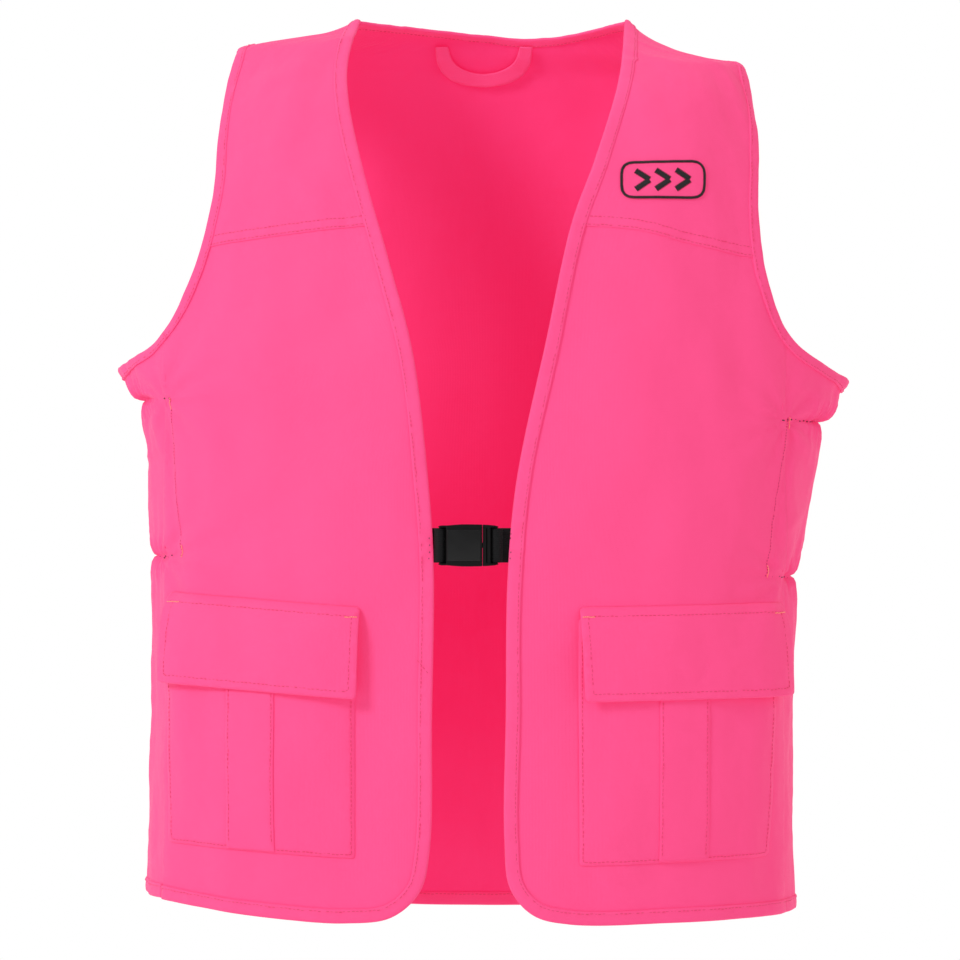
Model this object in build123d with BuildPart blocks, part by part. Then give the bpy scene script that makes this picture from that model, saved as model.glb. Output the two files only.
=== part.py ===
from build123d import *
import math
import os

# Open-front field vest, millimetres, +Z up, -Y is the wearer's front, +X the wearer's left.
# The origin lies between the shoulders, where the vest rests on its wearer.
# Every cloth layer is cut from one torso form, moved out or in by its own amount.

os.makedirs("parts", exist_ok=True)

# ---------------------------------------------------------------- driving dimensions
CLOTH = 1.6            # thickness of a fabric layer
TAPE = 2.6             # thickness of a folded edge binding
TAPE_PROUD = 0.5       # how far a binding stands outside the fabric
EDGE_WIDTH = 10.0      # width of the front, neck and hem binding
ARMHOLE_WIDTH = 8.0    # width of the armhole binding
HINGE_GAP = 2.0        # clear width at a seam that opens
SEAM_GAP = 1.0         # clear height under a yoke
SQUARENESS = 0.68      # Bezier handle length of a torso quarter, 0.55 would be an ellipse

# height, half width on the wearer's right and left, depth in front and behind
FORM = [
    (16, 88, 101, 4, 8),
    (5, 138, 118, 20, 50),
    (-6, 183, 145, 32, 60),
    (-18, 197, 190, 42, 71),
    (-60, 215, 212, 74, 92),
    (-130, 236, 236, 97, 108),
    (-250, 271, 272, 111, 117),
    (-276, 251, 251, 113, 118),
    (-330, 252, 249, 113, 117),
    (-392, 243, 229, 113, 113),
    (-420, 249, 233, 113, 112),
    (-672, 251, 232, 114, 115),
]
FORM_TOP = -20         # above this the layers are spaced in height as well as in width

SEAM_X = {"right": -236.0, "left": 222.0}
SHOULDER = {"right": (-93, 14), "left": (106, 14)}
BACK_HEM = -661.0
SIDE_HEM = {"right": -638.0, "left": -650.0}
NECK_DIP = 6.0
NECK_LOW = -60.0       # the neck binding ends above this
HEM_HIGH = -600.0      # and the hem binding ends below this
FRONT_REACH = 20.0     # how far a front may reach past the middle

# neck point, then down the front edge to the top of the round corner
FRONT_EDGE = {
    "right": [(-93, 14), (-101, -20), (-100, -50), (-88, -106), (-69, -173), (-52, -238),
              (-41, -330), (-37, -390), (-40, -595)],
    "left": [(106, 14), (100, -33), (82, -94), (64, -144), (45, -231), (24, -330),
             (17.4, -400), (15, -585)],
}
CORNER = {"right": [(-47, -626), (-67, -645), (-100, -649)], "left": [(19, -625), (35, -644), (62, -651)]}
# shoulder point, then down the armhole to the armpit
FRONT_ARMHOLE = {
    "right": [(-189, -2), (-196, -70), (-199, -125), (-217, -191), (-236, -224), (-272, -247)],
    "left": [(194, -12), (198, -73), (199, -135), (208, -184), (228, -230), (272, -256)],
}
BACK_ARMHOLE = {
    "right": [(-189, -2), (-181, -70), (-180, -125), (-196, -185), (-236, -230), (-272, -247)],
    "left": [(194, -12), (183, -73), (181, -135), (193, -190), (228, -234), (272, -256)],
}
YOKE_SEAM = {"right": [(-300, -165), (-199, -159), (-85, -145), (-20, -141)],
             "left": [(300, -175), (195, -167), (108, -148), (-20, -141)]}

# pocket: outer x, inner x, top and bottom at the outer side, top and bottom at the inner side
POCKET = {"right": (-228, -94, -422, -596, -431, -602), "left": (209, 70, -430, -604, -431, -605)}
FLAP = {"right": (-231, -90, -413, -477, -423, -487), "left": (219, 70, -422, -488, -423, -488)}
POCKET_DEPTH = 8.8     # clear depth of a pocket
POCKET_WALL = 2.0
FLAP_OUT = 12.2        # a flap's inner face, measured out from the torso form
DISC_R = 9.0
DISC_THICK = 0.6
DISC_OUT = {"pocket": 11.1, "flap": 12.1}    # outer face of each disc, from the torso form
DISC_Z = -466.0
DISC_X = {"right": -160.0, "left": 149.0}

ELASTIC_Z = (-276.0, -392.0)
ELASTIC_WIDTH = 7.0

# emblem patch on the left yoke
PATCH_X, PATCH_Z = 130.0, -112.0
PATCH_LENGTH, PATCH_HEIGHT, PATCH_CORNER = 60.0, 26.0, 8.0
PATCH_THICK = 1.5
REST = 0.2             # clearance of a layer that lies on the fabric

# hanger loop inside the back neck
LOOP_HALF, LOOP_TAPE, LOOP_TOP, LOOP_BOTTOM = 37.0, 10.0, -5.5, -32.0
LOOP_IN = 4.4          # how far inside the torso form the loop lies

# chest strap and side-release buckle
WEBBING_WIDTH, WEBBING = 25.0, 1.4
STRAP_Z = -377.6
STRAP_OUT = -2.6       # outer face of the sewn webbing, inside the fabric
ANCHOR_LENGTH = 45.0
STRAP_X = {"right": -38.0, "left": 17.4}
STRAP_GAP = 0.4        # half of the gap at the fold between sewn and free webbing
BUCKLE_Y = -112.0
BUCKLE_DEPTH = 9.0
BAR_R = 1.4
BAR_X = {"right": -31.2, "left": 8.4}
BAR_SLACK = 0.1        # between a bar and the webbing round it
RAIL = 13.0            # inner half height between the rails that carry a bar
BAR_LENGTH = 27.0      # a bar ends inside both rails
RECESS = 20.0          # length of the cut that leaves the rails
EDGE_ROUND = 0.9
MOUTH_X = -1.4         # where the housing ends and the insert goes in
PLATE_X = -27.5        # where the housing's solid plate starts
HOUSING_START = -33.0
HOUSING_HALF, HOUSING_END = 14.4, 13.3
CAVITY_LENGTH, CAVITY_DEPTH, CAVITY_HALF = 24.0, 6.0, 12.0
WINDOW_X = (-21.5, -10.9)
INSERT_START, INSERT_PLATE, INSERT_END = -1.1, 4.6, 10.3
INSERT_HALF, INSERT_DEPTH = 14.8, 8.0
GUIDE_LENGTH, GUIDE_DEPTH, GUIDE_HEIGHT = 20.5, 3.2, 3.6
ARM_DEPTH = 4.4
# one sprung arm: x and distance from the buckle's centre line
ARM_SHAPE = [(-1.4, 7.6), (-21, 7.6), (-21, 11.2), (-18, 15.0), (-12.2, 15.4), (-11.6, 10.6), (-1.4, 10.6)]

FAR = 400.0            # longer than any part of the vest
THIN = 1.0             # least depth of a section


def rise(out, z):
    """Height added to a section so that a layer keeps its thickness over the shoulders."""
    return out if z > FORM_TOP else 0.0


def form(out):
    """The solid torso form, grown by out all round."""
    with BuildPart() as torso:
        for z, right, left, front, back in FORM:
            ahead = max(front + out, THIN)
            behind = max(back + out, THIN)
            with BuildSketch(Plane.XY.offset(z + rise(out, z))):
                with BuildLine():
                    for x, y in ((-right - out, -ahead), (left + out, -ahead),
                                 (left + out, behind), (-right - out, behind)):
                        Bezier((x, 0), (x, SQUARENESS * y), (SQUARENESS * x, y), (0, y))
                make_face()
        loft(ruled=True)
    return torso.part


def layer(outer, inner):
    """The shell between two offsets of the torso form, outer first."""
    with BuildPart() as shell:
        add(form(outer))
        add(form(inner), mode=Mode.SUBTRACT)
    return shell.part


def half_depth(x, z, out, behind=False):
    """The y of the torso form's surface at x and z, out from the form."""
    for upper, lower in zip(FORM, FORM[1:]):
        if lower[0] <= z <= upper[0]:
            share = (upper[0] - z) / (upper[0] - lower[0])
            _, right, left, front, back = [u + share * (v - u) for u, v in zip(upper, lower)]
    width = (right if x < 0 else left) + out
    depth = back + out if behind else -front - out
    low, high = 0.0, 1.0
    for _ in range(40):
        t = (low + high) / 2
        s = 1 - t
        across = s**3 + 3 * s * s * t + 3 * SQUARENESS * s * t * t
        low, high = (t, high) if across * width > abs(x) else (low, t)
    return depth * (3 * SQUARENESS * s * s * t + 3 * s * t * t + t**3)


# ---------------------------------------------------------------- flat pattern pieces, drawn in X and Z

def soft_line(points):
    """A line through points with every corner rounded as widely as its two runs allow."""
    radii = []
    for before, corner, after in zip(points, points[1:], points[2:]):
        arriving = Vector(*corner) - Vector(*before)
        leaving = Vector(*after) - Vector(*corner)
        turn = math.radians(arriving.get_angle(leaving))
        radii.append(0.45 * min(arriving.length, leaving.length) / math.tan(turn / 2))
    return FilletPolyline(*points, radius=radii)


def inside_front_edge(side, inset=0.0):
    """All that lies behind the bound front edge and hem of one front."""
    edge = FRONT_EDGE[side]
    corner = CORNER[side]
    far_x = FAR if side == "left" else -FAR
    with BuildSketch() as region:
        with BuildLine():
            soft_line(edge + corner + [(SEAM_X[side], SIDE_HEM[side])])
            Polyline((SEAM_X[side], SIDE_HEM[side]), (far_x, SIDE_HEM[side]), (far_x, FAR),
                     (edge[0][0], FAR), edge[0])
        make_face()
        if inset:
            offset(amount=-inset, mode=Mode.REPLACE)
    return region.sketch


def armhole(side, points, grow=0.0):
    """The opening for one arm, reaching past the side of the vest."""
    far_x = FAR if side == "left" else -FAR
    with BuildSketch() as region:
        with BuildLine():
            soft_line(points)
            Polyline(points[-1], (far_x, points[-1][1]), (far_x, FAR), (points[0][0], FAR), points[0])
        make_face()
        if grow:
            offset(amount=grow, mode=Mode.REPLACE)
    return region.sketch


def block(x_low, x_high, z_low, z_high):
    """A plain rectangle of the pattern."""
    with BuildSketch() as region:
        with BuildLine():
            Polyline((x_low, z_low), (x_high, z_low), (x_high, z_high), (x_low, z_high), close=True)
        make_face()
    return region.sketch


def below_yoke(side, drop):
    """All that lies under one yoke seam."""
    seam = [(x, z - drop) for x, z in YOKE_SEAM[side]]
    with BuildSketch() as region:
        with BuildLine():
            Polyline(seam + [(seam[-1][0], -FAR * 2), (seam[0][0], -FAR * 2)], close=True)
        make_face()
    return region.sketch


def back_outline(inset=0.0):
    """The back from the neck edge down to the hem."""
    right, left = SHOULDER["right"], SHOULDER["left"]
    with BuildSketch() as region:
        with BuildLine():
            Polyline((-FAR, SIDE_HEM["right"]), (-FAR, FAR), (right[0], FAR), right)
            ThreePointArc(right, (0, NECK_DIP), left)
            Polyline(left, (left[0], FAR), (FAR, FAR), (FAR, SIDE_HEM["left"]), (SEAM_X["left"], SIDE_HEM["left"]))
            ThreePointArc((SEAM_X["left"], SIDE_HEM["left"]), (0, BACK_HEM), (SEAM_X["right"], SIDE_HEM["right"]))
            Line((SEAM_X["right"], SIDE_HEM["right"]), (-FAR, SIDE_HEM["right"]))
        make_face()
        if inset:
            offset(amount=-inset, mode=Mode.REPLACE)
    return region.sketch


def slab(x_out, x_in, z_out_top, z_out_low, z_in_top, z_in_low, inset=0.0):
    """A pocket or flap outline; inset draws in its sides and foot and lifts its top."""
    step = inset if x_out > x_in else -inset
    with BuildSketch() as region:
        with BuildLine():
            Polyline((x_out - step, z_out_top + inset), (x_out - step, z_out_low + inset),
                     (x_in + step, z_in_low + inset), (x_in + step, z_in_top + inset), close=True)
        make_face()
    return region.sketch


def beyond(side, x, z_low=-2 * FAR, z_high=FAR):
    """All that lies further out than x on one side."""
    return block(*sorted((x, FAR if side == "left" else -FAR)), z_low, z_high)


def cut(shell, keep, drop=(), behind=False):
    """The stretch of a shell over all the regions in keep and clear of those in drop."""
    with BuildPart() as piece:
        with BuildSketch(Plane.XZ):
            add(keep[0])
            for region in keep[1:]:
                add(region, mode=Mode.INTERSECT)
            for region in drop:
                add(region, mode=Mode.SUBTRACT)
        extrude(amount=-FAR if behind else FAR)
        add(shell, mode=Mode.INTERSECT)
    return piece.part


fabric = layer(0, -CLOTH)
tape = layer(TAPE_PROUD, TAPE_PROUD - TAPE)
lining = layer(STRAP_OUT, STRAP_OUT - WEBBING)

# ---------------------------------------------------------------- back, neck and hem
back_whole = back_outline()
back_bound = back_outline(EDGE_WIDTH)
back_holes = {side: armhole(side, BACK_ARMHOLE[side]) for side in SEAM_X}
back_holes_bound = {side: armhole(side, BACK_ARMHOLE[side], ARMHOLE_WIDTH) for side in SEAM_X}

with BuildPart() as back_panel:
    between_seams = block(SEAM_X["right"], SEAM_X["left"], -2 * FAR, FAR)
    add(cut(fabric, [back_bound, between_seams], back_holes_bound.values(), behind=True))
back_panel.part.label = "back_panel"
export_step(back_panel.part, "parts/back_panel.step")

with BuildPart() as neck_binding:
    neck_area = block(SHOULDER["right"][0] - EDGE_WIDTH, SHOULDER["left"][0] + EDGE_WIDTH,
                      NECK_LOW, FAR)
    add(cut(tape, [back_whole, neck_area], [back_bound], behind=True))
neck_binding.part.label = "neck_binding"
export_step(neck_binding.part, "parts/neck_binding.step")

with BuildPart() as back_hem_binding:
    add(cut(tape, [back_whole, block(-FAR, FAR, -2 * FAR, HEM_HIGH)], [back_bound], behind=True))
    for side, hem in SIDE_HEM.items():
        gap = HINGE_GAP / 2 if side == "left" else -HINGE_GAP / 2
        add(cut(tape, [beyond(side, SEAM_X[side] + gap, hem, hem + EDGE_WIDTH)]))
back_hem_binding.part.label = "back_hem_binding"
export_step(back_hem_binding.part, "parts/back_hem_binding.step")

# ---------------------------------------------------------------- hanger loop
with BuildSketch() as loop_outline:
    for half, low, mode in ((LOOP_HALF, LOOP_BOTTOM, Mode.ADD),
                            (LOOP_HALF - LOOP_TAPE, LOOP_BOTTOM + LOOP_TAPE, Mode.SUBTRACT)):
        with BuildLine():
            Line((half, LOOP_TOP), (-half, LOOP_TOP))
            ThreePointArc((-half, LOOP_TOP), (0, low), (half, LOOP_TOP))
        make_face(mode=mode)
with BuildPart() as hanger_loop:
    add(cut(layer(-LOOP_IN, -LOOP_IN - WEBBING), [loop_outline.sketch], behind=True))
hanger_loop.part.label = "hanger_loop"
export_step(hanger_loop.part, "parts/hanger_loop.step")

# ---------------------------------------------------------------- emblem patch
with BuildSketch() as emblem:
    with Locations((PATCH_X, PATCH_Z)):
        RectangleRounded(PATCH_LENGTH, PATCH_HEIGHT, PATCH_CORNER)
with BuildPart() as chest_patch:
    add(cut(layer(PATCH_THICK, REST), [emblem.sketch]))
chest_patch.part.label = "chest_patch"
export_step(chest_patch.part, "parts/chest_patch.step")

# ---------------------------------------------------------------- both fronts and sides
pocket_solid = layer(POCKET_DEPTH + CLOTH, REST)
pocket_space = layer(POCKET_DEPTH, 0.0)
flap_layer = layer(FLAP_OUT + CLOTH, FLAP_OUT)
pocket_disc = layer(DISC_OUT["pocket"], DISC_OUT["pocket"] - DISC_THICK)
flap_disc = layer(DISC_OUT["flap"], DISC_OUT["flap"] - DISC_THICK)
bar_y = {}

for side, seam_x in SEAM_X.items():
    out = 1 if side == "left" else -1
    clear = out * HINGE_GAP / 2
    hole = armhole(side, FRONT_ARMHOLE[side])
    hole_bound = armhole(side, FRONT_ARMHOLE[side], ARMHOLE_WIDTH)
    whole = inside_front_edge(side)
    whole_bound = inside_front_edge(side, EDGE_WIDTH)
    front_area = block(*sorted((-out * FRONT_REACH, seam_x - clear)), -2 * FAR, FAR)
    under_seam = below_yoke(side, SEAM_GAP)
    under_yoke = below_yoke(side, 0)
    front_side = beyond(side, seam_x + clear)
    back_side = beyond(side, seam_x)
    above_hem = block(-FAR, FAR, SIDE_HEM[side] + EDGE_WIDTH, 0)

    with BuildPart() as yoke:
        add(cut(fabric, [whole_bound, front_area], [under_yoke, hole_bound]))
    yoke.part.label = f"{side}_yoke"
    export_step(yoke.part, f"parts/{side}_yoke.step")

    with BuildPart() as front_panel:
        add(cut(fabric, [whole_bound, front_area, under_seam], [hole_bound]))
    front_panel.part.label = f"{side}_front_panel"
    export_step(front_panel.part, f"parts/{side}_front_panel.step")

    with BuildPart() as front_binding:
        add(cut(tape, [whole, front_area, under_seam], [whole_bound, hole]))
    front_binding.part.label = f"{side}_front_binding"
    export_step(front_binding.part, f"parts/{side}_front_binding.step")

    with BuildPart() as lapel_binding:
        add(cut(tape, [whole, front_area], [under_yoke, whole_bound, hole]))
    lapel_binding.part.label = f"{side}_lapel_binding"
    export_step(lapel_binding.part, f"parts/{side}_lapel_binding.step")

    with BuildPart() as underarm_binding:
        add(cut(tape, [hole_bound, front_area, under_seam], [hole]))
    underarm_binding.part.label = f"{side}_underarm_binding"
    export_step(underarm_binding.part, f"parts/{side}_underarm_binding.step")

    with BuildPart() as armhole_binding:
        add(cut(tape, [hole_bound, front_area], [under_yoke, hole]))
        add(cut(tape, [back_holes_bound[side]], [back_holes[side]], behind=True))
        add(cut(tape, [hole_bound, front_side], [hole]))
    armhole_binding.part.label = f"{side}_armhole_binding"
    export_step(armhole_binding.part, f"parts/{side}_armhole_binding.step")

    with BuildPart() as side_panel:
        add(cut(fabric, [front_side, above_hem], [hole_bound]))
        add(cut(fabric, [back_side, above_hem], [back_holes_bound[side]], behind=True))
    side_panel.part.label = f"{side}_side_panel"
    export_step(side_panel.part, f"parts/{side}_side_panel.step")

    for level, z in zip(("upper", "lower"), ELASTIC_Z):
        strip = beyond(side, seam_x + clear, z - ELASTIC_WIDTH / 2, z + ELASTIC_WIDTH / 2)
        with BuildPart() as elastic:
            add(cut(lining, [strip]))
            add(cut(lining, [strip], behind=True))
        elastic.part.label = f"{side}_{level}_elastic"
        export_step(elastic.part, f"parts/{side}_{level}_elastic.step")

    with BuildPart() as pocket:
        add(cut(pocket_solid, [slab(*POCKET[side])]))
        add(cut(pocket_space, [slab(*POCKET[side], inset=POCKET_WALL)]), mode=Mode.SUBTRACT)
    pocket.part.label = f"{side}_pocket"
    export_step(pocket.part, f"parts/{side}_pocket.step")

    with BuildPart() as pocket_flap:
        add(cut(flap_layer, [slab(*FLAP[side])]))
    pocket_flap.part.label = f"{side}_pocket_flap"
    export_step(pocket_flap.part, f"parts/{side}_pocket_flap.step")

    with BuildSketch() as disc:
        with Locations((DISC_X[side], DISC_Z)):
            Circle(DISC_R)
    with BuildPart() as pocket_fastener:
        add(cut(pocket_disc, [disc.sketch]))
    pocket_fastener.part.label = f"{side}_pocket_fastener"
    export_step(pocket_fastener.part, f"parts/{side}_pocket_fastener.step")
    with BuildPart() as flap_fastener:
        add(cut(flap_disc, [disc.sketch]))
    flap_fastener.part.label = f"{side}_flap_fastener"
    export_step(flap_fastener.part, f"parts/{side}_flap_fastener.step")

    # webbing sewn flat inside the front edge
    anchor_end = STRAP_X[side] + out * STRAP_GAP
    with BuildPart() as webbing_anchor:
        area = block(*sorted((anchor_end, anchor_end + out * ANCHOR_LENGTH)),
                     STRAP_Z - WEBBING_WIDTH / 2, STRAP_Z + WEBBING_WIDTH / 2)
        add(cut(lining, [area]))
    webbing_anchor.part.label = f"{side}_webbing_anchor"
    export_step(webbing_anchor.part, f"parts/{side}_webbing_anchor.step")

    # the free webbing, folded round its buckle bar
    strap_y = half_depth(STRAP_X[side], STRAP_Z, STRAP_OUT)
    leg_start = STRAP_X[side] - out * STRAP_GAP
    bar_y[side] = strap_y - BAR_R - BAR_SLACK
    with BuildPart() as webbing:
        with BuildSketch(Plane.XY.offset(STRAP_Z - WEBBING_WIDTH / 2)):
            with Locations(((leg_start + BAR_X[side]) / 2, strap_y + WEBBING / 2)):
                Rectangle(abs(leg_start - BAR_X[side]), WEBBING)
            with Locations((BAR_X[side], bar_y[side])):
                Circle(BAR_R + BAR_SLACK + WEBBING)
                Circle(BAR_R + BAR_SLACK, mode=Mode.SUBTRACT)
        extrude(amount=WEBBING_WIDTH)
    webbing.part.label = f"{side}_webbing"
    export_step(webbing.part, f"parts/{side}_webbing.step")
    print(side, "strap hinge", STRAP_X[side], round(strap_y + WEBBING, 2))

# ---------------------------------------------------------------- buckle

def buckle_plane(depth):
    """The buckle's centre plane, moved back by half of depth, drawn in x and height."""
    return Plane((0, BUCKLE_Y + depth / 2, STRAP_Z), x_dir=(1, 0, 0), z_dir=(0, -1, 0))


with BuildPart() as buckle_housing:
    with BuildSketch(buckle_plane(BUCKLE_DEPTH)):
        with BuildLine():
            Polyline((PLATE_X, HOUSING_HALF), (HOUSING_START, HOUSING_END + 1),
                     (HOUSING_START, -HOUSING_END - 1), (PLATE_X, -HOUSING_HALF))
            ThreePointArc((PLATE_X, -HOUSING_HALF), (-15, -HOUSING_HALF - 0.6), (MOUTH_X, -HOUSING_END))
            Line((MOUTH_X, -HOUSING_END), (MOUTH_X, HOUSING_END))
            ThreePointArc((MOUTH_X, HOUSING_END), (-15, HOUSING_HALF + 0.6), (PLATE_X, HOUSING_HALF))
        make_face()
    extrude(amount=BUCKLE_DEPTH)
    fillet(buckle_housing.edges().filter_by(Axis.Y), radius=EDGE_ROUND)
    with BuildSketch(buckle_plane(BUCKLE_DEPTH)):
        with Locations((PLATE_X - RECESS / 2, 0)):
            Rectangle(RECESS, 2 * RAIL)
    extrude(amount=BUCKLE_DEPTH, mode=Mode.SUBTRACT)
    with Locations((BAR_X["right"], bar_y["right"], STRAP_Z)):
        Cylinder(BAR_R, BAR_LENGTH)
    with Locations((MOUTH_X - CAVITY_LENGTH / 2, BUCKLE_Y, STRAP_Z)):
        Box(CAVITY_LENGTH, CAVITY_DEPTH, 2 * CAVITY_HALF, mode=Mode.SUBTRACT)
    with Locations((sum(WINDOW_X) / 2, BUCKLE_Y, STRAP_Z)):
        Box(WINDOW_X[1] - WINDOW_X[0], CAVITY_DEPTH, 4 * CAVITY_HALF, mode=Mode.SUBTRACT)
buckle_housing.part.label = "buckle_housing"
export_step(buckle_housing.part, "parts/buckle_housing.step")

with BuildPart() as buckle_insert:
    with BuildSketch(buckle_plane(INSERT_DEPTH)):
        with Locations(((INSERT_START + INSERT_END) / 2, 0)):
            RectangleRounded(INSERT_END - INSERT_START, 2 * INSERT_HALF, 1.6)
        with Locations((INSERT_PLATE + RECESS / 2, 0)):
            Rectangle(RECESS, 2 * RAIL, mode=Mode.SUBTRACT)
    extrude(amount=INSERT_DEPTH)
    with Locations((BAR_X["left"], bar_y["left"], STRAP_Z)):
        Cylinder(BAR_R, BAR_LENGTH)
    with Locations((INSERT_START + 0.5 - GUIDE_LENGTH / 2, BUCKLE_Y, STRAP_Z)):
        Box(GUIDE_LENGTH, GUIDE_DEPTH, GUIDE_HEIGHT)
buckle_insert.part.label = "buckle_insert"
export_step(buckle_insert.part, "parts/buckle_insert.step")

for level, up in (("upper", 1), ("lower", -1)):
    with BuildPart() as arm:
        with BuildSketch(buckle_plane(ARM_DEPTH)):
            with BuildLine():
                Polyline([(x, up * height) for x, height in ARM_SHAPE], close=True)
            make_face()
        extrude(amount=ARM_DEPTH)
    arm.part.label = f"buckle_arm_{level}"
    export_step(arm.part, f"parts/buckle_arm_{level}.step")

# the flap hinge lines, each half way between the chord of a curved flap and its crown
for side in SEAM_X:
    x_out, x_in, z_out, _, z_in, _ = FLAP[side]
    y_out, y_in = (half_depth(x, z, FLAP_OUT) for x, z in ((x_out, z_out), (x_in, z_in)))
    crown = half_depth((x_out + x_in) / 2, (z_out + z_in) / 2, FLAP_OUT) - (y_out + y_in) / 2
    print(side, "flap hinge", (x_out, round(y_out + crown / 2, 2), z_out), (x_in, round(y_in + crown / 2, 2), z_in))
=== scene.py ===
import math

import bmesh
import bpy
import numpy as np
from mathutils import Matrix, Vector
from mathutils.geometry import delaunay_2d_cdt


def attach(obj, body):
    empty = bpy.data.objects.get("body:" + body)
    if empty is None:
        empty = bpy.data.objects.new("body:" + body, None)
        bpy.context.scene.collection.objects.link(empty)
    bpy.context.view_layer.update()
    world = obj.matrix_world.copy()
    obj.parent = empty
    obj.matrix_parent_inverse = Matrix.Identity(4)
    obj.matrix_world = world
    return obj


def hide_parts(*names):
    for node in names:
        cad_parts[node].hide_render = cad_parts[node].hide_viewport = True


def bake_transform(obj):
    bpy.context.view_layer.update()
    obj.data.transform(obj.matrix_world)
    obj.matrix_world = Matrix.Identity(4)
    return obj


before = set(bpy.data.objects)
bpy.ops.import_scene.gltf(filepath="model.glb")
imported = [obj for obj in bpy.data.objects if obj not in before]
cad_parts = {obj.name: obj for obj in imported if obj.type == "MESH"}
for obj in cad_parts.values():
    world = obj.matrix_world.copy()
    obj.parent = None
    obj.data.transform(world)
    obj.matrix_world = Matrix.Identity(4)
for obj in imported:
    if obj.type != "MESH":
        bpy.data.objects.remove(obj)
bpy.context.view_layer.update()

# Lengths are millimetres until a mesh is made. -Y is the wearer's front, +X the wearer's left.
MM = 0.001
SIDES = {"right": -1, "left": 1}

# ---------------------------------------------------------------- camera
CAMERA_AT = (-0.003, -3.0, -0.3304)
camera = bpy.data.objects.new("camera", bpy.data.cameras.new("camera"))
camera.location = CAMERA_AT
camera.rotation_euler = (math.radians(90), 0, 0)
camera.data.sensor_width = 36
camera.data.lens = 150
bpy.context.scene.collection.objects.link(camera)
bpy.context.scene.camera = camera

# ---------------------------------------------------------------- torso form, rows of height and size
RIGHT_HALF = [(16.5, 88), (14.4, 94), (8.4, 106), (4, 119), (-0.3, 145), (-4.7, 173), (-8, 184),
              (-18, 195), (-60, 215), (-130, 236), (-247, 272), (-253, 268), (-263, 262), (-268, 257.5),
              (-270.5, 251), (-280, 253.7), (-288, 254), (-305, 251.3), (-317, 249.4), (-327, 250.3),
              (-368, 248), (-378, 246.3), (-387, 241.7), (-393, 245), (-402, 247), (-516, 250),
              (-605, 252.5), (-700, 252.5)]
LEFT_HALF = [(16.5, 103), (14, 107), (3.5, 119), (-10, 146), (-17, 173), (-20.5, 194), (-60, 212),
             (-130, 236), (-256, 272), (-265, 265.5), (-280, 258.7),
             (-284.5, 253.8), (-286.5, 248.6), (-299, 251.3),
             (-317, 249), (-357, 241.4), (-387, 235.3), (-396, 232), (-402, 227.6), (-408, 231),
             (-420, 233.4), (-506, 233), (-564, 231.5), (-622, 232), (-700, 231)]
# the same widths without the pinches, as the middle of each face follows them
RIGHT_CALM = [*RIGHT_HALF[:11], (-200, 245), (-330, 250), (-700, 252.5)]
LEFT_CALM = [*LEFT_HALF[:8], (-200, 243), (-300, 247), (-420, 235), (-700, 231)]
FRONT_DEPTH = [(16.5, 4), (5, 20), (-6, 32), (-18, 42), (-60, 74), (-130, 97), (-250, 111),
               (-330, 113), (-700, 114)]
BACK_DEPTH = [(16.5, 8), (5, 50), (-6, 60), (-18, 71), (-60, 92), (-130, 108), (-250, 117), (-330, 117),
              (-392, 113), (-700, 115)]
# height against the length that the cloth has over the shoulders
SPREAD = [(-760, -760), (-100, -100), (-60, -60), (-18, -10), (-6, 14), (5, 48), (16.5, 96)]
SQUARENESS = 0.68
GIRTH = 285.0          # length of a quarter round the torso

SEAM_X = {"right": -236, "left": 222}
SHOULDER = {"right": (-93, 14), "left": (106, 14)}
RIDGE = {"right": (-184, -8), "left": (194, -20.5)}
SIDE_HEM = {"right": -638, "left": -650}
FRONT_EDGE = {
    "right": [(-93, 14), (-101, -20), (-100, -50), (-88, -106), (-69, -173), (-52, -238), (-41, -330),
              (-37, -390), (-38, -500), (-40, -600), (-47, -628), (-67, -646), (-100, -650.5), (-170, -646.5),
              (-236, -639)],
    "left": [(106, 14), (100, -33), (82, -94), (64, -144), (45, -231), (24, -330), (17.4, -400),
             (16, -500), (15, -590), (19, -625), (35, -644), (62, -651), (140, -651), (222, -650)],
}
FRONT_ARMHOLE = {
    "right": [(-184, -8), (-191, -40), (-195.5, -80), (-199, -125), (-217, -188), (-238, -224), (-272, -247)],
    "left": [(194, -20.5), (200, -50), (202, -90), (201.5, -135), (207, -184), (227, -228), (272, -256)],
}
BACK_ARMHOLE = {
    "right": [(-184, -8), (-180, -70), (-181, -125), (-196, -185), (-236, -229), (-272, -247)],
    "left": [(194, -20.5), (184, -73), (181, -135), (193, -190), (226, -232), (272, -256)],
}
YOKE_SEAM = {"right": [(-215, -163), (-199, -159), (-140, -151), (-85, -145), (-60, -143)],
             "left": [(222, -170), (195, -167), (150, -158), (108, -148), (50, -144)]}
BACK_HEM = [(-236, -638), (-120, -655), (0, -661), (120, -657), (222, -650)]
BACK_NECK = [(-93, 14), (-50, 11.3), (0, 7.6), (30, 5.6), (60, 6.8), (106, 14)]
PINCH = {"right": (-270.5, -387), "left": (-286.5, -402)}
LADDER = {"right": ((-231.5, -270), (-222, -387)), "left": ((224, -284), (208, -402))}

# pockets: corners at the outer top, outer foot, inner foot and inner top
POCKET = {"right": [(-231, -422), (-230, -596), (-94, -604), (-94, -431)],
          "left": [(212, -430), (209, -606), (69, -609), (68.5, -431)]}
FLAP = {"right": [(-229, -413), (-231, -478), (-92, -488), (-90, -423)],
        "left": [(218, -421), (219, -488), (73, -490), (69.5, -423)]}
PLEAT = {"right": (-185.6, -151.3), "left": (126.6, 161.8)}
DISC_AT = {"right": (-160, -466), "left": (149, -466)}
PATCH_AT = (130, -112)

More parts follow.
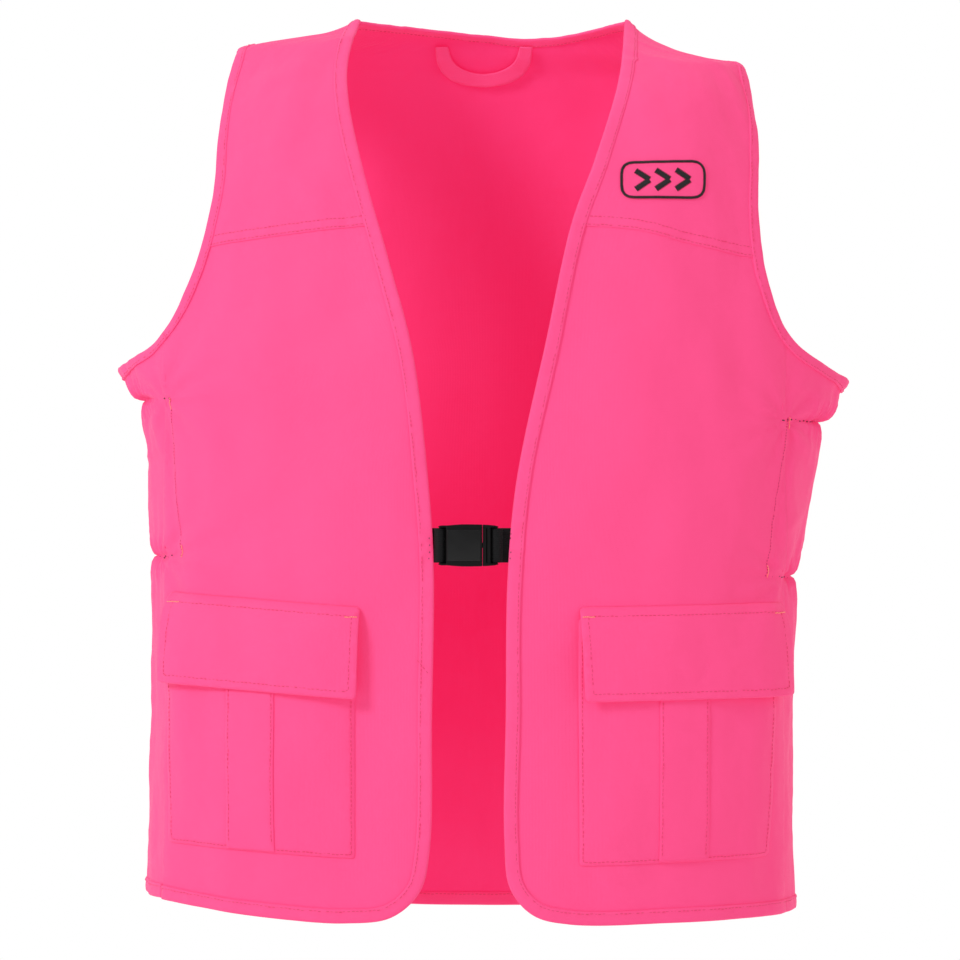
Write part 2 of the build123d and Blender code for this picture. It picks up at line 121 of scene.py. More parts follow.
CLOTH = 1.1            # visible thickness of the fabric
LAP = 0.7              # a lapped layer lies this much further out
PUFF = 6.2             # how far a pocket stands out
FLAP_RISE = 10.4        # how far a flap's foot stands out
EDGE_WIDTH = 10.0
ARMHOLE_WIDTH = 8.0
EDGE_ROW = 8.1         # how far in from an edge the wide binding's stitches run
ARMHOLE_ROW = 6.4      # and the narrow binding's
UNDERARM_Z = -229      # where the back's side seams start
STRAP_Z = -377.6


def smooth_table(rows):
    """A monotone cubic through rows of height and value."""
    z, v = np.array(sorted(rows), float).T
    step = np.diff(z)
    rise = np.diff(v) / step
    slope = np.zeros_like(v)
    same = rise[:-1] * rise[1:] > 0
    slope[1:-1][same] = 2 / (1 / rise[:-1][same] + 1 / rise[1:][same])
    slope[0], slope[-1] = rise[0], rise[-1]

    def value(x):
        x = np.clip(x, z[0], z[-1])
        i = np.clip(np.searchsorted(z, x, side="right") - 1, 0, len(step) - 1)
        t = (x - z[i]) / step[i]
        left = v[i] * (1 + 2 * t) + slope[i] * step[i] * t
        right = v[i + 1] * (3 - 2 * t) + slope[i + 1] * step[i] * (t - 1)
        return left * (1 - t) ** 2 + right * t * t
    return value


pinched = {"right": smooth_table(RIGHT_HALF), "left": smooth_table(LEFT_HALF)}
calm = {"right": smooth_table(RIGHT_CALM), "left": smooth_table(LEFT_CALM)}
front_depth = smooth_table(FRONT_DEPTH)
back_depth = smooth_table(BACK_DEPTH)
spread_of = smooth_table(SPREAD)
height_samples = np.linspace(-760, 16.5, 4000)
spread_samples = spread_of(height_samples)


def height_of(h):
    return np.interp(h, spread_samples, height_samples)


def half_width(q, z):
    """The half width at a height: pinched by the elastics near the sides only."""
    share = np.clip(1 - np.abs(1 - np.abs(q)) / 0.42, 0, 1)
    share = share * share * (3 - 2 * share)
    left, right = (calm[s](z) * (1 - share) + pinched[s](z) * share for s in ("left", "right"))
    return np.where(q < 0, right, left)


def quarter(t):
    """How far across and how far out a quarter of the torso lies, from its side at 0 to its middle at 1."""
    s = 1 - t
    return (s**3 + 3 * s * s * t + 3 * SQUARENESS * s * t * t,
            3 * SQUARENESS * s * s * t + 3 * s * t * t + t**3)


def torso(q, h, behind=False):
    """Points of the torso form. q runs from -1 to 1 across one face and goes on round the sides past that."""
    q = np.asarray(q, float)
    z = height_of(h)
    near = np.abs(q) <= 1
    across, along = quarter(np.where(near, 1 - np.abs(q), np.abs(q) - 1))
    half = half_width(q, z)
    depth = np.where(near == behind, back_depth(z), -front_depth(z))
    return np.stack([np.sign(q) * half * across, depth * along, z + 0 * q], -1)


def slopes(q, h, behind=False):
    """The form's two tangents at each point."""
    dq, dh = 0.004, 1.0
    along_q = (torso(q + dq, h, behind) - torso(q - dq, h, behind)) / (2 * dq)
    along_h = (torso(q, h + dh, behind) - torso(q, h - dh, behind)) / (2 * dh)
    return along_q, along_h


def outward(q, h, behind=False):
    along_q, along_h = slopes(q, h, behind)
    n = np.cross(along_q, along_h)
    n /= np.linalg.norm(n, axis=-1, keepdims=True) + 1e-9
    return -n if behind else n


def domain(points, behind=False):
    """Pattern points in x and z as points of the form."""
    points = np.asarray(points, float)
    x, z = points[:, 0], points[:, 1]
    sign = np.where(x < 0, -1.0, 1.0)
    low, high = np.zeros(len(x)), np.ones(len(x))
    for _ in range(24):
        middle = (low + high) / 2
        past = half_width(sign * middle, z) * quarter(1 - middle)[0] > np.abs(x)
        low, high = np.where(past, low, middle), np.where(past, middle, high)
    return np.stack([sign * (low + high) / 2, spread_of(z)], -1)


def wrapped(path):
    """A path on the other face, in this face's terms."""
    return np.stack([np.sign(path[:, 0]) * (2 - np.abs(path[:, 0])), path[:, 1]], -1)


def flowing(points, per_run=12):
    """A smooth line through points."""
    p = np.array([points[0], *points, points[-1]], float)
    p[0] = 2 * p[1] - p[2]
    p[-1] = 2 * p[-2] - p[-3]
    line = []
    for a, b, c, d in zip(p, p[1:], p[2:], p[3:]):
        knot = np.cumsum([0, *[max(np.linalg.norm(v - u), 1e-6) ** 0.5 for u, v in ((a, b), (b, c), (c, d))]])
        for t in np.linspace(knot[1], knot[2], per_run, endpoint=False):
            ab, bc, cd = (((knot[i + 1] - t) * u + (t - knot[i]) * v) / (knot[i + 1] - knot[i])
                          for i, (u, v) in enumerate(((a, b), (b, c), (c, d))))
            abc = ((knot[2] - t) * ab + (t - knot[0]) * bc) / (knot[2] - knot[0])
            bcd = ((knot[3] - t) * bc + (t - knot[1]) * cd) / (knot[3] - knot[1])
            line.append(((knot[2] - t) * abc + (t - knot[1]) * bcd) / (knot[2] - knot[1]))
    line.append(p[-2])
    return np.array(line)


def straight(points, step=4.0):
    """Straight runs through points, divided."""
    points = np.array(points, float)
    line = [points[:1]]
    for a, b in zip(points, points[1:]):
        n = max(1, int(np.linalg.norm(b - a) / step))
        line.append(a + (b - a) * (np.arange(1, n + 1) / n)[:, None])
    return np.concatenate(line)


def even(path, step, behind=False):
    """A path divided into equal lengths of cloth."""
    p = torso(path[:, 0], path[:, 1], behind)
    run = np.concatenate([[0], np.cumsum(np.linalg.norm(np.diff(p, axis=0), axis=1))])
    at = np.linspace(0, run[-1], max(2, int(round(run[-1] / step)) + 1))
    return np.stack([np.interp(at, run, path[:, k]) for k in (0, 1)], -1)


# ---------------------------------------------------------------- folds of the cloth
random = np.random.default_rng(7)


def wave_set(count, length_a, length_b):
    angle = random.uniform(0, math.pi, count)
    size = random.uniform(0.55, 1.3, count) * 2 * math.pi
    return (np.cos(angle) * size / length_a, np.sin(angle) * size / length_b, random.uniform(0, 7, count))


def waves(a, b, settings):
    total = 0
    for fa, fb, phase in zip(*settings):
        total = total + np.cos(fa * a + fb * b + phase)
    return total / math.sqrt(len(settings[0]))


BROAD = wave_set(9, 95, 210)
DRAG = wave_set(9, 42, 80)
CRUMPLE = wave_set(12, 15, 18)
# soft creases of the fronts: from x, z to x, z, how high, how wide
CREASES = [
    ((-150, -95), (-112, -140), 1.5, 11), ((-170, -40), (-125, -25), 1.4, 8),
    ((-160, -200), (-150, -300), 1.3, 14), ((-110, -200), (-95, -330), 1.0, 16),
    ((-196, -300), (-205, -370), 1.2, 9), ((150, -30), (185, -60), 1.2, 9),
    ((96, -606), (118, -616), 1.6, 4), ((80, -609), (100, -628), 1.2, 5),
    ((160, -215), (172, -290), 1.5, 12), ((120, -230), (112, -340), 1.3, 14),
    ((190, -320), (180, -400), 1.2, 8), ((-252, -318), (-240, -303), 1.6, 3.5),
    ((232, -262), (252, -268), 1.8, 4), ((216, -372), (236, -352), 1.4, 4),
    ((95, -400), (60, -330), 0.9, 12), ((-70, -400), (-60, -300), 0.9, 11),
]


def to_segment(x, z, a, b):
    """Distance from points to a line, and the share of the way along it."""
    along = np.array(b, float) - np.array(a, float)
    share = np.clip(((x - a[0]) * along[0] + (z - a[1]) * along[1]) / (along @ along), 0, 1)
    return np.hypot(x - a[0] - share * along[0], z - a[1] - share * along[1]), share


def relief(q, h, behind, p):
    """How far the cloth stands off the form through its own folds."""
    x, y, z = p[:, 0], p[:, 1], p[:, 2]
    side = np.sign(q) + (q == 0)
    round_ = np.where(behind, 2 - np.abs(q), np.abs(q))
    girth = side * round_ * GIRTH
    front = y < 0
    total = (1.45 * waves(girth, z, BROAD) + 0.7 * waves(girth, z, DRAG)) / (1 + np.exp((z + 12) / 9))
    total = total + 0.15 * waves(girth, z, CRUMPLE)
    for a, b, high, wide in CREASES:
        d, share = to_segment(x, z, a, b)
        crease = high * np.exp(-(d / wide) ** 2) * np.sin(math.pi * (0.1 + 0.8 * share))
        total = total + np.where(front, crease, 0)
    for name, sign in SIDES.items():
        here = side == sign
        u = (round_ - 1) * GIRTH
        seam_u = -62 if name == "right" else -52
        belt = 1 / (1 + np.exp((np.abs(u + 4) + seam_u - 4) / 3))
        for level, z0 in enumerate(PINCH[name]):
            dz = z - z0
            ridge = np.cos(u / 1.05 + 1.6 * np.sin(u / 7 + level) + 0.02 * dz * np.sin(u / 5))
            fade = 1 / (1 + (dz / 6.5) ** 2)
            total = total + np.where(here, belt * (1.9 * ridge * fade - 2.4 * np.exp(-(dz / 2.6) ** 2)), 0)
            long_ridge = np.cos(u / 2.9 + 2.1 * level + sign)
            total = total + np.where(here, belt * 1.2 * long_ridge / (1 + (dz / 17) ** 2), 0)
            x0 = SEAM_X[name]
            r = np.hypot(x - x0, dz)
            angle = np.arctan2(dz, -sign * (x - x0))
            ray = 1.5 * np.exp(-r / 42) * (1 - np.exp(-r / 9)) * np.cos(9 * angle + 1.9 * level + sign)
            total = total + np.where(here & front & (round_ < 0.9), ray, 0)
        (top_x, top_z), (foot_x, foot_z) = LADDER[name]
        off = sign * (x - top_x - (foot_x - top_x) * (z - top_z) / (foot_z - top_z))
        between = 1 / (1 + np.exp((z - top_z + 3) / 2.5)) / (1 + np.exp((foot_z + 3 - z) / 2.5))
        deep = 0.9 + 1.5 * np.exp(-((z - top_z + 30) / 26) ** 2)
        fold = between * (-deep * np.exp(-((off - 3) / 2.6) ** 2) + 1.6 * np.exp(-((off - 13) / 8) ** 2))
        total = total + np.where(here & front, fold, 0)
        puff = np.exp(-(((np.abs(x) - 256) / 13) ** 2) - ((z - PINCH[name][0] - 13) / 9) ** 2)
        total = total + np.where(here, 2.2 * puff, 0)
        pull = np.hypot(x - FRONT_EDGE[name][7][0], z - STRAP_Z)
        tug = 0.9 * np.exp(-pull / 30) * np.cos(5 * np.arctan2(z - STRAP_Z, x - FRONT_EDGE[name][7][0]))
        total = total + np.where(here & front, tug, 0)
        seam = YOKE_SEAM[name]
        d, share = to_segment(x, z, seam[1], seam[-1])
        pucker = 0.28 * np.cos(x / 1.7 + np.sin(x / 11)) * np.exp(-((d - 1) / 6) ** 2)
        total = total + np.where(here & front, pucker, 0)
    return total


def cloth(q, h, behind=False, out=0.0):
    """Points of the cloth, out from its outer face."""
    p = torso(q, h, behind)
    lift = relief(q, h, behind, p) + out
    return p + outward(q, h, behind) * lift[:, None]


def new_object(name, points, faces, uv=None, material=None, face_materials=None):
    """A mesh from points in millimetres."""
    mesh = bpy.data.meshes.new(name)
    mesh.from_pydata((np.asarray(points, float) * MM).tolist(), [], [list(f) for f in faces])
    if uv is not None:
        layer = mesh.uv_layers.new(name="cloth")
        index = np.zeros(len(mesh.loops), np.int32)
        mesh.loops.foreach_get("vertex_index", index)
        layer.data.foreach_set("uv", (np.asarray(uv, float)[index] * MM).ravel().astype(np.float32))
    mesh.polygons.foreach_set("use_smooth", [True] * len(mesh.polygons))
    for m in [material] if not isinstance(material, (list, tuple)) else material:
        mesh.materials.append(m)
    if face_materials is not None:
        mesh.polygons.foreach_set("material_index", face_materials)
    mesh.validate()
    thing = bpy.data.objects.new(name, mesh)
    bpy.context.scene.collection.objects.link(thing)
    return thing


def inside(points, outline):
    """Which points lie inside a closed outline."""
    result = np.zeros(len(points), bool)
    for (ax, ay), (bx, by) in zip(outline, np.roll(outline, -1, 0)):
        crosses = (ay > points[:, 1]) != (by > points[:, 1])
        if crosses.any():
            at = ax + (points[:, 1] - ay) * (bx - ax) / (by - ay + 1e-12)
            result ^= crosses & (points[:, 0] < at)
    return result


def sheet_mesh(name, outline, behind=False, out=0.0, thick=CLOTH, step=4.5, material=None,
               extra=(), inner_shade_material=None):
    """Cloth over a closed outline: an outer and an inner face joined by a rounded rim.
    out is a number or a function of the points of the form. extra holds more lines of points inside."""
    flat = np.array(outline, float) * (GIRTH, 1)
    keep = np.linalg.norm(flat - np.roll(flat, 1, 0), axis=1) > 0.3
    flat = flat[keep]
    low, high = flat.min(0), flat.max(0)
    rows = int((high[1] - low[1]) / (step * 0.87)) + 1
    columns = int((high[0] - low[0]) / step) + 2
    gx, gy = np.meshgrid(np.arange(columns), np.arange(rows))
    grid = np.stack([low[0] + (gx + 0.5 * (gy % 2)) * step, low[1] + gy * step * 0.87], -1).reshape(-1, 2)
    fine = [np.array(line, float) * (GIRTH, 1) for line in extra]
    for line in fine:
        grid = grid[np.min(np.linalg.norm(grid[:, None] - line[None, ::2], axis=2), axis=1) > 0.55 * step]
    grid = np.concatenate([grid, *fine])
    grid = grid[inside(grid, flat)]
    near = np.array([np.min(np.linalg.norm(flat - g, axis=1)) for g in grid])
    grid = grid[near > 0.5 * step]
    every = np.concatenate([flat, grid])
    points, _, faces, *_ = delaunay_2d_cdt([Vector(p) for p in every], [], [list(range(len(flat)))], 1, 1e-4)
    points = np.array([tuple(p) for p in points])
    faces = np.array([f for f in faces if len(f) == 3])
    ab, ac = points[faces[:, 1]] - points[faces[:, 0]], points[faces[:, 2]] - points[faces[:, 0]]
    clockwise = ab[:, 0] * ac[:, 1] - ab[:, 1] * ac[:, 0] < 0
    faces[clockwise] = faces[clockwise][:, ::-1]
    if behind:
        faces = faces[:, ::-1]
    q, h = points[:, 0] / GIRTH, points[:, 1]
    lift = out(q, h) if callable(out) else np.full(len(q), float(out))
    outer = cloth(q, h, behind, lift)
    inner = cloth(q, h, behind, lift - thick)
    n = len(points)
    edges = {}
    for f in faces:
        for a, b in ((f[0], f[1]), (f[1], f[2]), (f[2], f[0])):
            edges[(a, b)] = True
    rim = [(a, b) for a, b in edges if (b, a) not in edges]
    push = np.zeros((n, 3))
    normal = outward(q, h, behind)
    for a, b in rim:
        away = np.cross(outer[b] - outer[a], normal[a])
        away /= np.linalg.norm(away) + 1e-9
        push[a] += away
        push[b] += away
    on_rim = sorted({i for e in rim for i in e})
    length = np.linalg.norm(push[on_rim], axis=1, keepdims=True) + 1e-9
    middle = (outer[on_rim] + inner[on_rim]) / 2 + push[on_rim] / length * thick * 0.42
    place = {i: 2 * n + k for k, i in enumerate(on_rim)}
    quads = [(b, a, place[a], place[b]) for a, b in rim]
    quads += [(place[b], place[a], n + a, n + b) for a, b in rim]
    uv = np.concatenate([points, points, points[on_rim]])
    everything = list(map(tuple, faces)) + [(a + n, c + n, b + n) for a, b, c in faces] + quads
    # the inner faces take the second material, a painted-shade copy of the cloth
    inner_side = [0] * len(faces) + [1] * len(faces) + [0] * len(quads) if inner_shade_material else None
    return new_object(name, np.concatenate([outer, inner, middle]), everything, uv,
                      [material, inner_shade_material] if inner_shade_material else material, face_materials=inner_side)


# a folded tape's section: distance in from the edge, and distance out from the cloth
TAPE_SECTION = [(1.0, 0.1), (0.985, 0.8), (0.9, 1.15), (0.72, 0.85), (0.45, 1.15), (0.15, 1.05), (0.02, 0.6),
                (-0.04, -0.3), (-0.03, -1.0), (0.02, -1.5), (0.15, -1.85), (0.5, -1.85), (0.9, -1.8),
                (0.985, -1.6), (1.0, -1.2)]


def inward_steps(path, behind, side):
    """The change of q and h that moves one millimetre in from each point of a path."""
    q, h = path[:, 0], path[:, 1]
    p = torso(q, h, behind)
    tangent = np.gradient(p, axis=0)
    tangent /= np.linalg.norm(tangent, axis=1, keepdims=True) + 1e-9
    inward = np.cross(outward(q, h, behind), tangent) * side
    along_q, along_h = slopes(q, h, behind)
    a, b, c = ((u * v).sum(1) for u, v in ((along_q, along_q), (along_q, along_h), (along_h, along_h)))
    f, g = (inward * along_q).sum(1), (inward * along_h).sum(1)
    det = a * c - b * b + 1e-9
    steps = np.stack([(c * f - b * g) / det, (a * g - b * f) / det], -1)
    for _ in range(2):
        steps[1:-1] = (steps[:-2] + 2 * steps[1:-1] + steps[2:]) / 4
    return steps


def moved_in(path, amount, behind, side):
    return path + inward_steps(path, behind, side) * amount


def tube_faces(n, m):
    """The faces of n rings of m points each, closed at both ends."""
    faces = [(i * m + k, i * m + (k + 1) % m, (i + 1) * m + (k + 1) % m, (i + 1) * m + k)
             for i in range(n - 1) for k in range(m)]
    return faces + [tuple(range(m))[::-1], tuple((n - 1) * m + k for k in range(m))]


def tape(name, path, side, width=EDGE_WIDTH, behind=False, base=0.0, seed=1, part=(0, 1)):
    """A folded binding along an edge. side is 1 where the cloth lies to the left of the path, seen from outside.
    part is the share of the path that this piece covers."""
    path = even(path, 2.4, behind)
    steps = inward_steps(path, behind, side)
    run = np.arange(len(path)) * 2.4
    wave = np.sin(run / 1.45 + 1.8 * np.sin(run / 9.5 + seed) + seed)
    slow = np.sin(run / 21 + seed * 2)
    rings = []
    for share, out in TAPE_SECTION:
        rippled = 0.17 * wave * (4 * share * (1 - share) if 0 < share < 1 and out > 0 else 0)
        wide = width * share + 0.25 * slow * share
        shifted = path + steps * np.asarray(wide)[..., None]
        rings.append(cloth(shifted[:, 0], shifted[:, 1], behind, base + out + rippled))
    first, last = (int(round(share * (len(path) - 1))) for share in part)
    run = run[first:last + 1]
    n, m = len(run), len(rings)
    points = np.stack(rings, 1)[first:last + 1].reshape(-1, 3)
    faces = tube_faces(n, m)
    if side < 0:
        faces = [f[::-1] for f in faces]
    across = [share * width + (30 if out < 0 else 0) for share, out in TAPE_SECTION]
    uv = np.stack([np.repeat(run, m), np.tile(across, n)], -1)
    return new_object(name, points, faces, uv, binding_pink)


def capsules(name, starts, ends, radius, material):
    """Short rounded threads from each start to each end."""
    starts, ends = np.asarray(starts, float), np.asarray(ends, float)
    along = ends - starts
    length = np.linalg.norm(along, axis=1, keepdims=True)
    along = along / (length + 1e-9)
    helper = np.where(np.abs(along[:, :1]) < 0.9, [[1.0, 0, 0]], [[0, 1.0, 0]])
    u = np.cross(along, helper)
    u /= np.linalg.norm(u, axis=1, keepdims=True)
    v = np.cross(along, u)
    around, profile = 6, [(0.0, 0.35), (0.18, 0.9), (0.82, 0.9), (1.0, 0.35)]
    points = []
    for share, size in profile:
        for k in range(around):
            a = 2 * math.pi * k / around
            points.append(starts + along * length * share + (u * math.cos(a) + v * math.sin(a)) * radius * size)
    points = np.stack(points, 1).reshape(-1, 3)
    per = around * len(profile)
    one = tube_faces(len(profile), around)
    faces = [tuple(first + v for v in face) for first in range(0, len(starts) * per, per) for face in one]
    return new_object(name, points, faces, points[:, [0, 2]], material)


def stitch_ends(path, behind, out, pitch=3.1, length=2.2, wobble=0.15):
    """Where the stitches of a row start and end."""
    path = even(path, pitch, behind)
    lift = out(path[:, 0], path[:, 1]) if callable(out) else np.full(len(path), float(out))
    p = cloth(path[:, 0], path[:, 1], behind, lift)
    middle, run = (p[:-1] + p[1:]) / 2, p[1:] - p[:-1]
    run /= np.linalg.norm(run, axis=1, keepdims=True) + 1e-9
    middle = middle + np.random.default_rng(len(p)).normal(0, wobble, middle.shape)
    return middle - run * length / 2, middle + run * length / 2


def stitching(name, rows, material, radius=0.3, **how):
    """One mesh of all the stitch rows given as (path, behind, out)."""
    ends = [stitch_ends(*row, **how) for row in rows]
    return capsules(name, np.concatenate([a for a, _ in ends]), np.concatenate([b for _, b in ends]), radius,
                    material)


# ---------------------------------------------------------------- materials
def new_material(name, colour, roughness, **sockets):
    """A principled material, with constant values on its own sockets."""
    material = bpy.data.materials.new(name)
    material.use_nodes = True
    shader = material.node_tree.nodes["Principled BSDF"]
    shader.inputs["Base Color"].default_value = (*colour, 1)
    shader.inputs["Roughness"].default_value = roughness
    for socket, value in sockets.items():
        shader.inputs[socket.replace("_", " ")].default_value = value
    return material, material.node_tree, shader


def node(tree, kind, **values):
    made_node = tree.nodes.new(kind)
    for key, value in values.items():
        if key in made_node.inputs:
            made_node.inputs[key].default_value = value
        else:
            setattr(made_node, key, value)
    return made_node


def mixed(tree, factor, low, high):
    """A colour between two, by a factor."""
    ramp = node(tree, "ShaderNodeValToRGB")
    ramp.color_ramp.elements[0].color = (*low, 1)
    ramp.color_ramp.elements[1].color = (*high, 1)
    tree.links.new(factor, ramp.inputs[0])
    return ramp.outputs["Color"]


def math_node(tree, operation, a, b):
    n = node(tree, "ShaderNodeMath", operation=operation)
    for socket, value in zip(n.inputs, (a, b)):
        if isinstance(value, (int, float)):
            socket.default_value = value
        else:
            tree.links.new(value, socket)
    return n.outputs[0]


def remap(tree, value, *ends):
    """A value moved from the range of the first two ends to that of the last two."""
    sockets = ("From Min", "From Max", "To Min", "To Max")
    moved = node(tree, "ShaderNodeMapRange", **dict(zip(sockets, ends)))
    tree.links.new(value, moved.inputs[0])
    return moved.outputs[0]


def noise(tree, where, **values):
    texture = node(tree, "ShaderNodeTexNoise", **values)
    tree.links.new(where, texture.inputs["Vector"])
    return texture.outputs["Fac"]


def summed(tree, a, share_a, b, share_b):
    return math_node(tree, "ADD", math_node(tree, "MULTIPLY", a, share_a),
                     math_node(tree, "MULTIPLY", b, share_b))


def bumped(tree, shader, height, strength, distance):
    """Fine relief on a material."""
    bump = node(tree, "ShaderNodeBump", Strength=strength, Distance=distance)
    tree.links.new(height, bump.inputs["Height"])
    tree.links.new(bump.outputs[0], shader.inputs["Normal"])


def woven(name, colour, dark, thread, depth, rough=(0.62, 0.86), sheen=0.1, painted_glow=None):
    """Plain woven cloth: warp and weft, slubs, faint shade changes and uneven gloss. Its emission colour is a
    painted glow: constant light that keeps the cloth bright in shade, standing in for the fluorescence of the dye.
    """
    material, tree, shader = new_material(name, colour, rough[0], Sheen_Weight=sheen, Sheen_Roughness=0.45,
                                          Specular_IOR_Level=0.28)
    shader.inputs["Sheen Tint"].default_value = (1.0, 0.75, 0.85, 1)
    if painted_glow:
        shader.inputs["Emission Color"].default_value = (*painted_glow, 1)
        shader.inputs["Emission Strength"].default_value = 1.0
    uv = node(tree, "ShaderNodeUVMap", uv_map="cloth").outputs[0]
    rows = []
    for direction, scale in (("X", 1.0), ("Y", 0.93)):
        band = node(tree, "ShaderNodeTexWave", wave_type="BANDS", bands_direction=direction, Distortion=0.6,
                    Scale=scale * 0.5 / thread, Detail=1.0)
        band.inputs["Detail Scale"].default_value = 0.6
        tree.links.new(uv, band.inputs["Vector"])
        rows.append(band.outputs["Fac"])
    weave = math_node(tree, "MULTIPLY", rows[0], rows[1])
    stretch = node(tree, "ShaderNodeMapping")
    stretch.inputs["Scale"].default_value = (60, 700, 1)
    tree.links.new(uv, stretch.inputs["Vector"])
    slub = noise(tree, stretch.outputs[0], Scale=1.0, Detail=2.0)
    shade = summed(tree, slub, 0.4, noise(tree, uv, Scale=9.0, Detail=3.0, Roughness=0.55), 0.6)
    tree.links.new(mixed(tree, shade, dark, colour), shader.inputs["Base Color"])
    tree.links.new(remap(tree, shade, 0.3, 0.7, *rough), shader.inputs["Roughness"])
    height = math_node(tree, "ADD", weave, math_node(tree, "MULTIPLY", slub, 0.7))
    bumped(tree, shader, height, depth, 0.0002)
    return material


def ribbed(name, colour, dark, pitch, depth, rough):
    """A ribbed narrow fabric, with ribs across its height."""
    material, tree, shader = new_material(name, colour, rough, Sheen_Weight=0.05, Specular_IOR_Level=0.12)
    where = node(tree, "ShaderNodeTexCoord").outputs["Object"]
    rib = node(tree, "ShaderNodeTexWave", wave_type="BANDS", bands_direction="Z", Scale=0.314 / pitch,
               Distortion=0.4, Detail=1.0)
    tree.links.new(where, rib.inputs["Vector"])
    # the rib troughs are painted darker, painted shade in the grooves over the same relief as the bump; the fibre
    # noise is the webbing's own uneven tone
    shade = summed(tree, rib.outputs["Fac"], 0.55, noise(tree, where, Scale=900.0, Detail=2.0), 0.45)
    tree.links.new(mixed(tree, shade, dark, colour), shader.inputs["Base Color"])
    bumped(tree, shader, shade, depth, 0.0003)
    return material


def moulded_plastic(name, colour, rough, gloss):
    """Moulded plastic: fine grain, faint rub marks along the edges of its gloss."""
    material, tree, shader = new_material(name, colour, rough, Specular_IOR_Level=gloss)
    where = node(tree, "ShaderNodeTexCoord").outputs["Object"]
    rub = noise(tree, where, Scale=120.0, Detail=4.0, Roughness=0.6)
    tree.links.new(remap(tree, rub, 0.35, 0.7, rough, rough + 0.1), shader.inputs["Roughness"])
    tree.links.new(mixed(tree, rub, colour, tuple(1.7 * c for c in colour)), shader.inputs["Base Color"])
    bumped(tree, shader, noise(tree, where, Scale=1400.0, Detail=2.0), 0.12, 0.0001)
    return material


# painted glow: a constant red emission for the pink cloth, painted light that lifts its shade in place of the
# dye's fluorescence
PAINTED_GLOW = (0.53, 0.0, 0.035)
shell_pink = woven("shell_pink", (0.42, 0.073, 0.212), (0.38, 0.058, 0.185), 0.0011, 0.55, painted_glow=PAINTED_GLOW)
# the inside of the vest is the same fabric: this darker, redder copy of the cloth is painted shade for the inner
# faces
inner_shade_pink = woven("inner_shade_pink", (0.42, 0.050, 0.19), (0.38, 0.038, 0.16), 0.0011, 0.4, painted_glow=PAINTED_GLOW)
binding_pink = woven("binding_pink", (0.42, 0.077, 0.218), (0.38, 0.06, 0.19), 0.0008, 0.6, painted_glow=PAINTED_GLOW)
# stitching thread: darker than the cloth, partly the thread's own tone and partly painted shade of the grooves the
# stitches sit in
groove_shaded_thread_pink = woven("groove_shaded_thread_pink", (0.37, 0.052, 0.14), (0.29, 0.03, 0.10), 0.0004, 0.3,
                    painted_glow=(0.38, 0.004, 0.018))
thread_dark = woven("thread_dark", (0.3, 0.03, 0.10), (0.2, 0.01, 0.06), 0.0004, 0.3, painted_glow=(0.22, 0, 0.02))
thread_peach = woven("thread_peach", (0.5, 0.30, 0.22), (0.5, 0.2, 0.17), 0.0004, 0.3, painted_glow=(0.45, 0.04, 0.02))
thread_black = woven("thread_black", (0.02, 0.018, 0.02), (0.008, 0.008, 0.009), 0.0004, 0.3)
webbing_black = ribbed("webbing_black", (0.006, 0.006, 0.0065), (0.0015, 0.0015, 0.002), 0.0016, 0.9, 0.7)
elastic_black = ribbed("elastic_black", (0.03, 0.03, 0.032), (0.01, 0.01, 0.011), 0.0012, 0.8, 0.75)
buckle_black = moulded_plastic("buckle_black", (0.0022, 0.0022, 0.0024), 0.4, 0.12)
buckle_gloss = moulded_plastic("buckle_gloss", (0.0026, 0.0026, 0.0028), 0.28, 0.26)
patch_pink = woven("patch_pink", (0.42, 0.073, 0.212), (0.38, 0.058, 0.185), 0.0007, 0.7, painted_glow=PAINTED_GLOW)
hook_loop = woven("hook_loop", (0.5, 0.05, 0.16), (0.4, 0.03, 0.11), 0.0005, 1.0, (0.8, 0.95),
                  painted_glow=(0.35, 0, 0.03))

# ---------------------------------------------------------------- outlines on the form
back_neck = domain(flowing(BACK_NECK), True)
back_hem = domain(flowing(BACK_HEM), True)
front_line, arm_line, back_arm, yoke_line = {}, {}, {}, {}
for side in SIDES:
    front_line[side] = domain(flowing(FRONT_EDGE[side], 40))
    arm_line[side] = domain(flowing(FRONT_ARMHOLE[side], 40))
    back_arm[side] = domain(flowing(BACK_ARMHOLE[side]), True)
    yoke_line[side] = domain(flowing(YOKE_SEAM[side], 40))


def seam_column(side, z_high, z_low, extra=0.0):
    """The front side seam as a path, from high to low."""
    return domain(straight([(SEAM_X[side] + extra, z_high), (SEAM_X[side] + extra, z_low)]))


def past_seam(line, side):
    """The first point of an armhole, in x and z, that lies past the side seam."""
    return int(np.argmax(np.abs(line[:, 0]) > abs(SEAM_X[side])))


def nearest(path, point):
    return int(np.argmin(np.hypot((path[:, 0] - point[0]) * GIRTH, path[:, 1] - point[1])))


def meeting(one, other):
    """Where two paths come nearest, as an index into each."""
    gap = np.linalg.norm((one[:, None] - other[None]) * (GIRTH, 1), axis=2)
    return np.unravel_index(int(np.argmin(gap)), gap.shape)


def closed(*parts, step=4.5, behind=False):
    """Several paths end to end as one closed outline of even steps."""
    return np.concatenate([even(part, step, behind)[:-1] for part in parts])


def join_line(a, b):
    return np.array([a + (b - a) * t for t in np.linspace(0, 1, 12)])


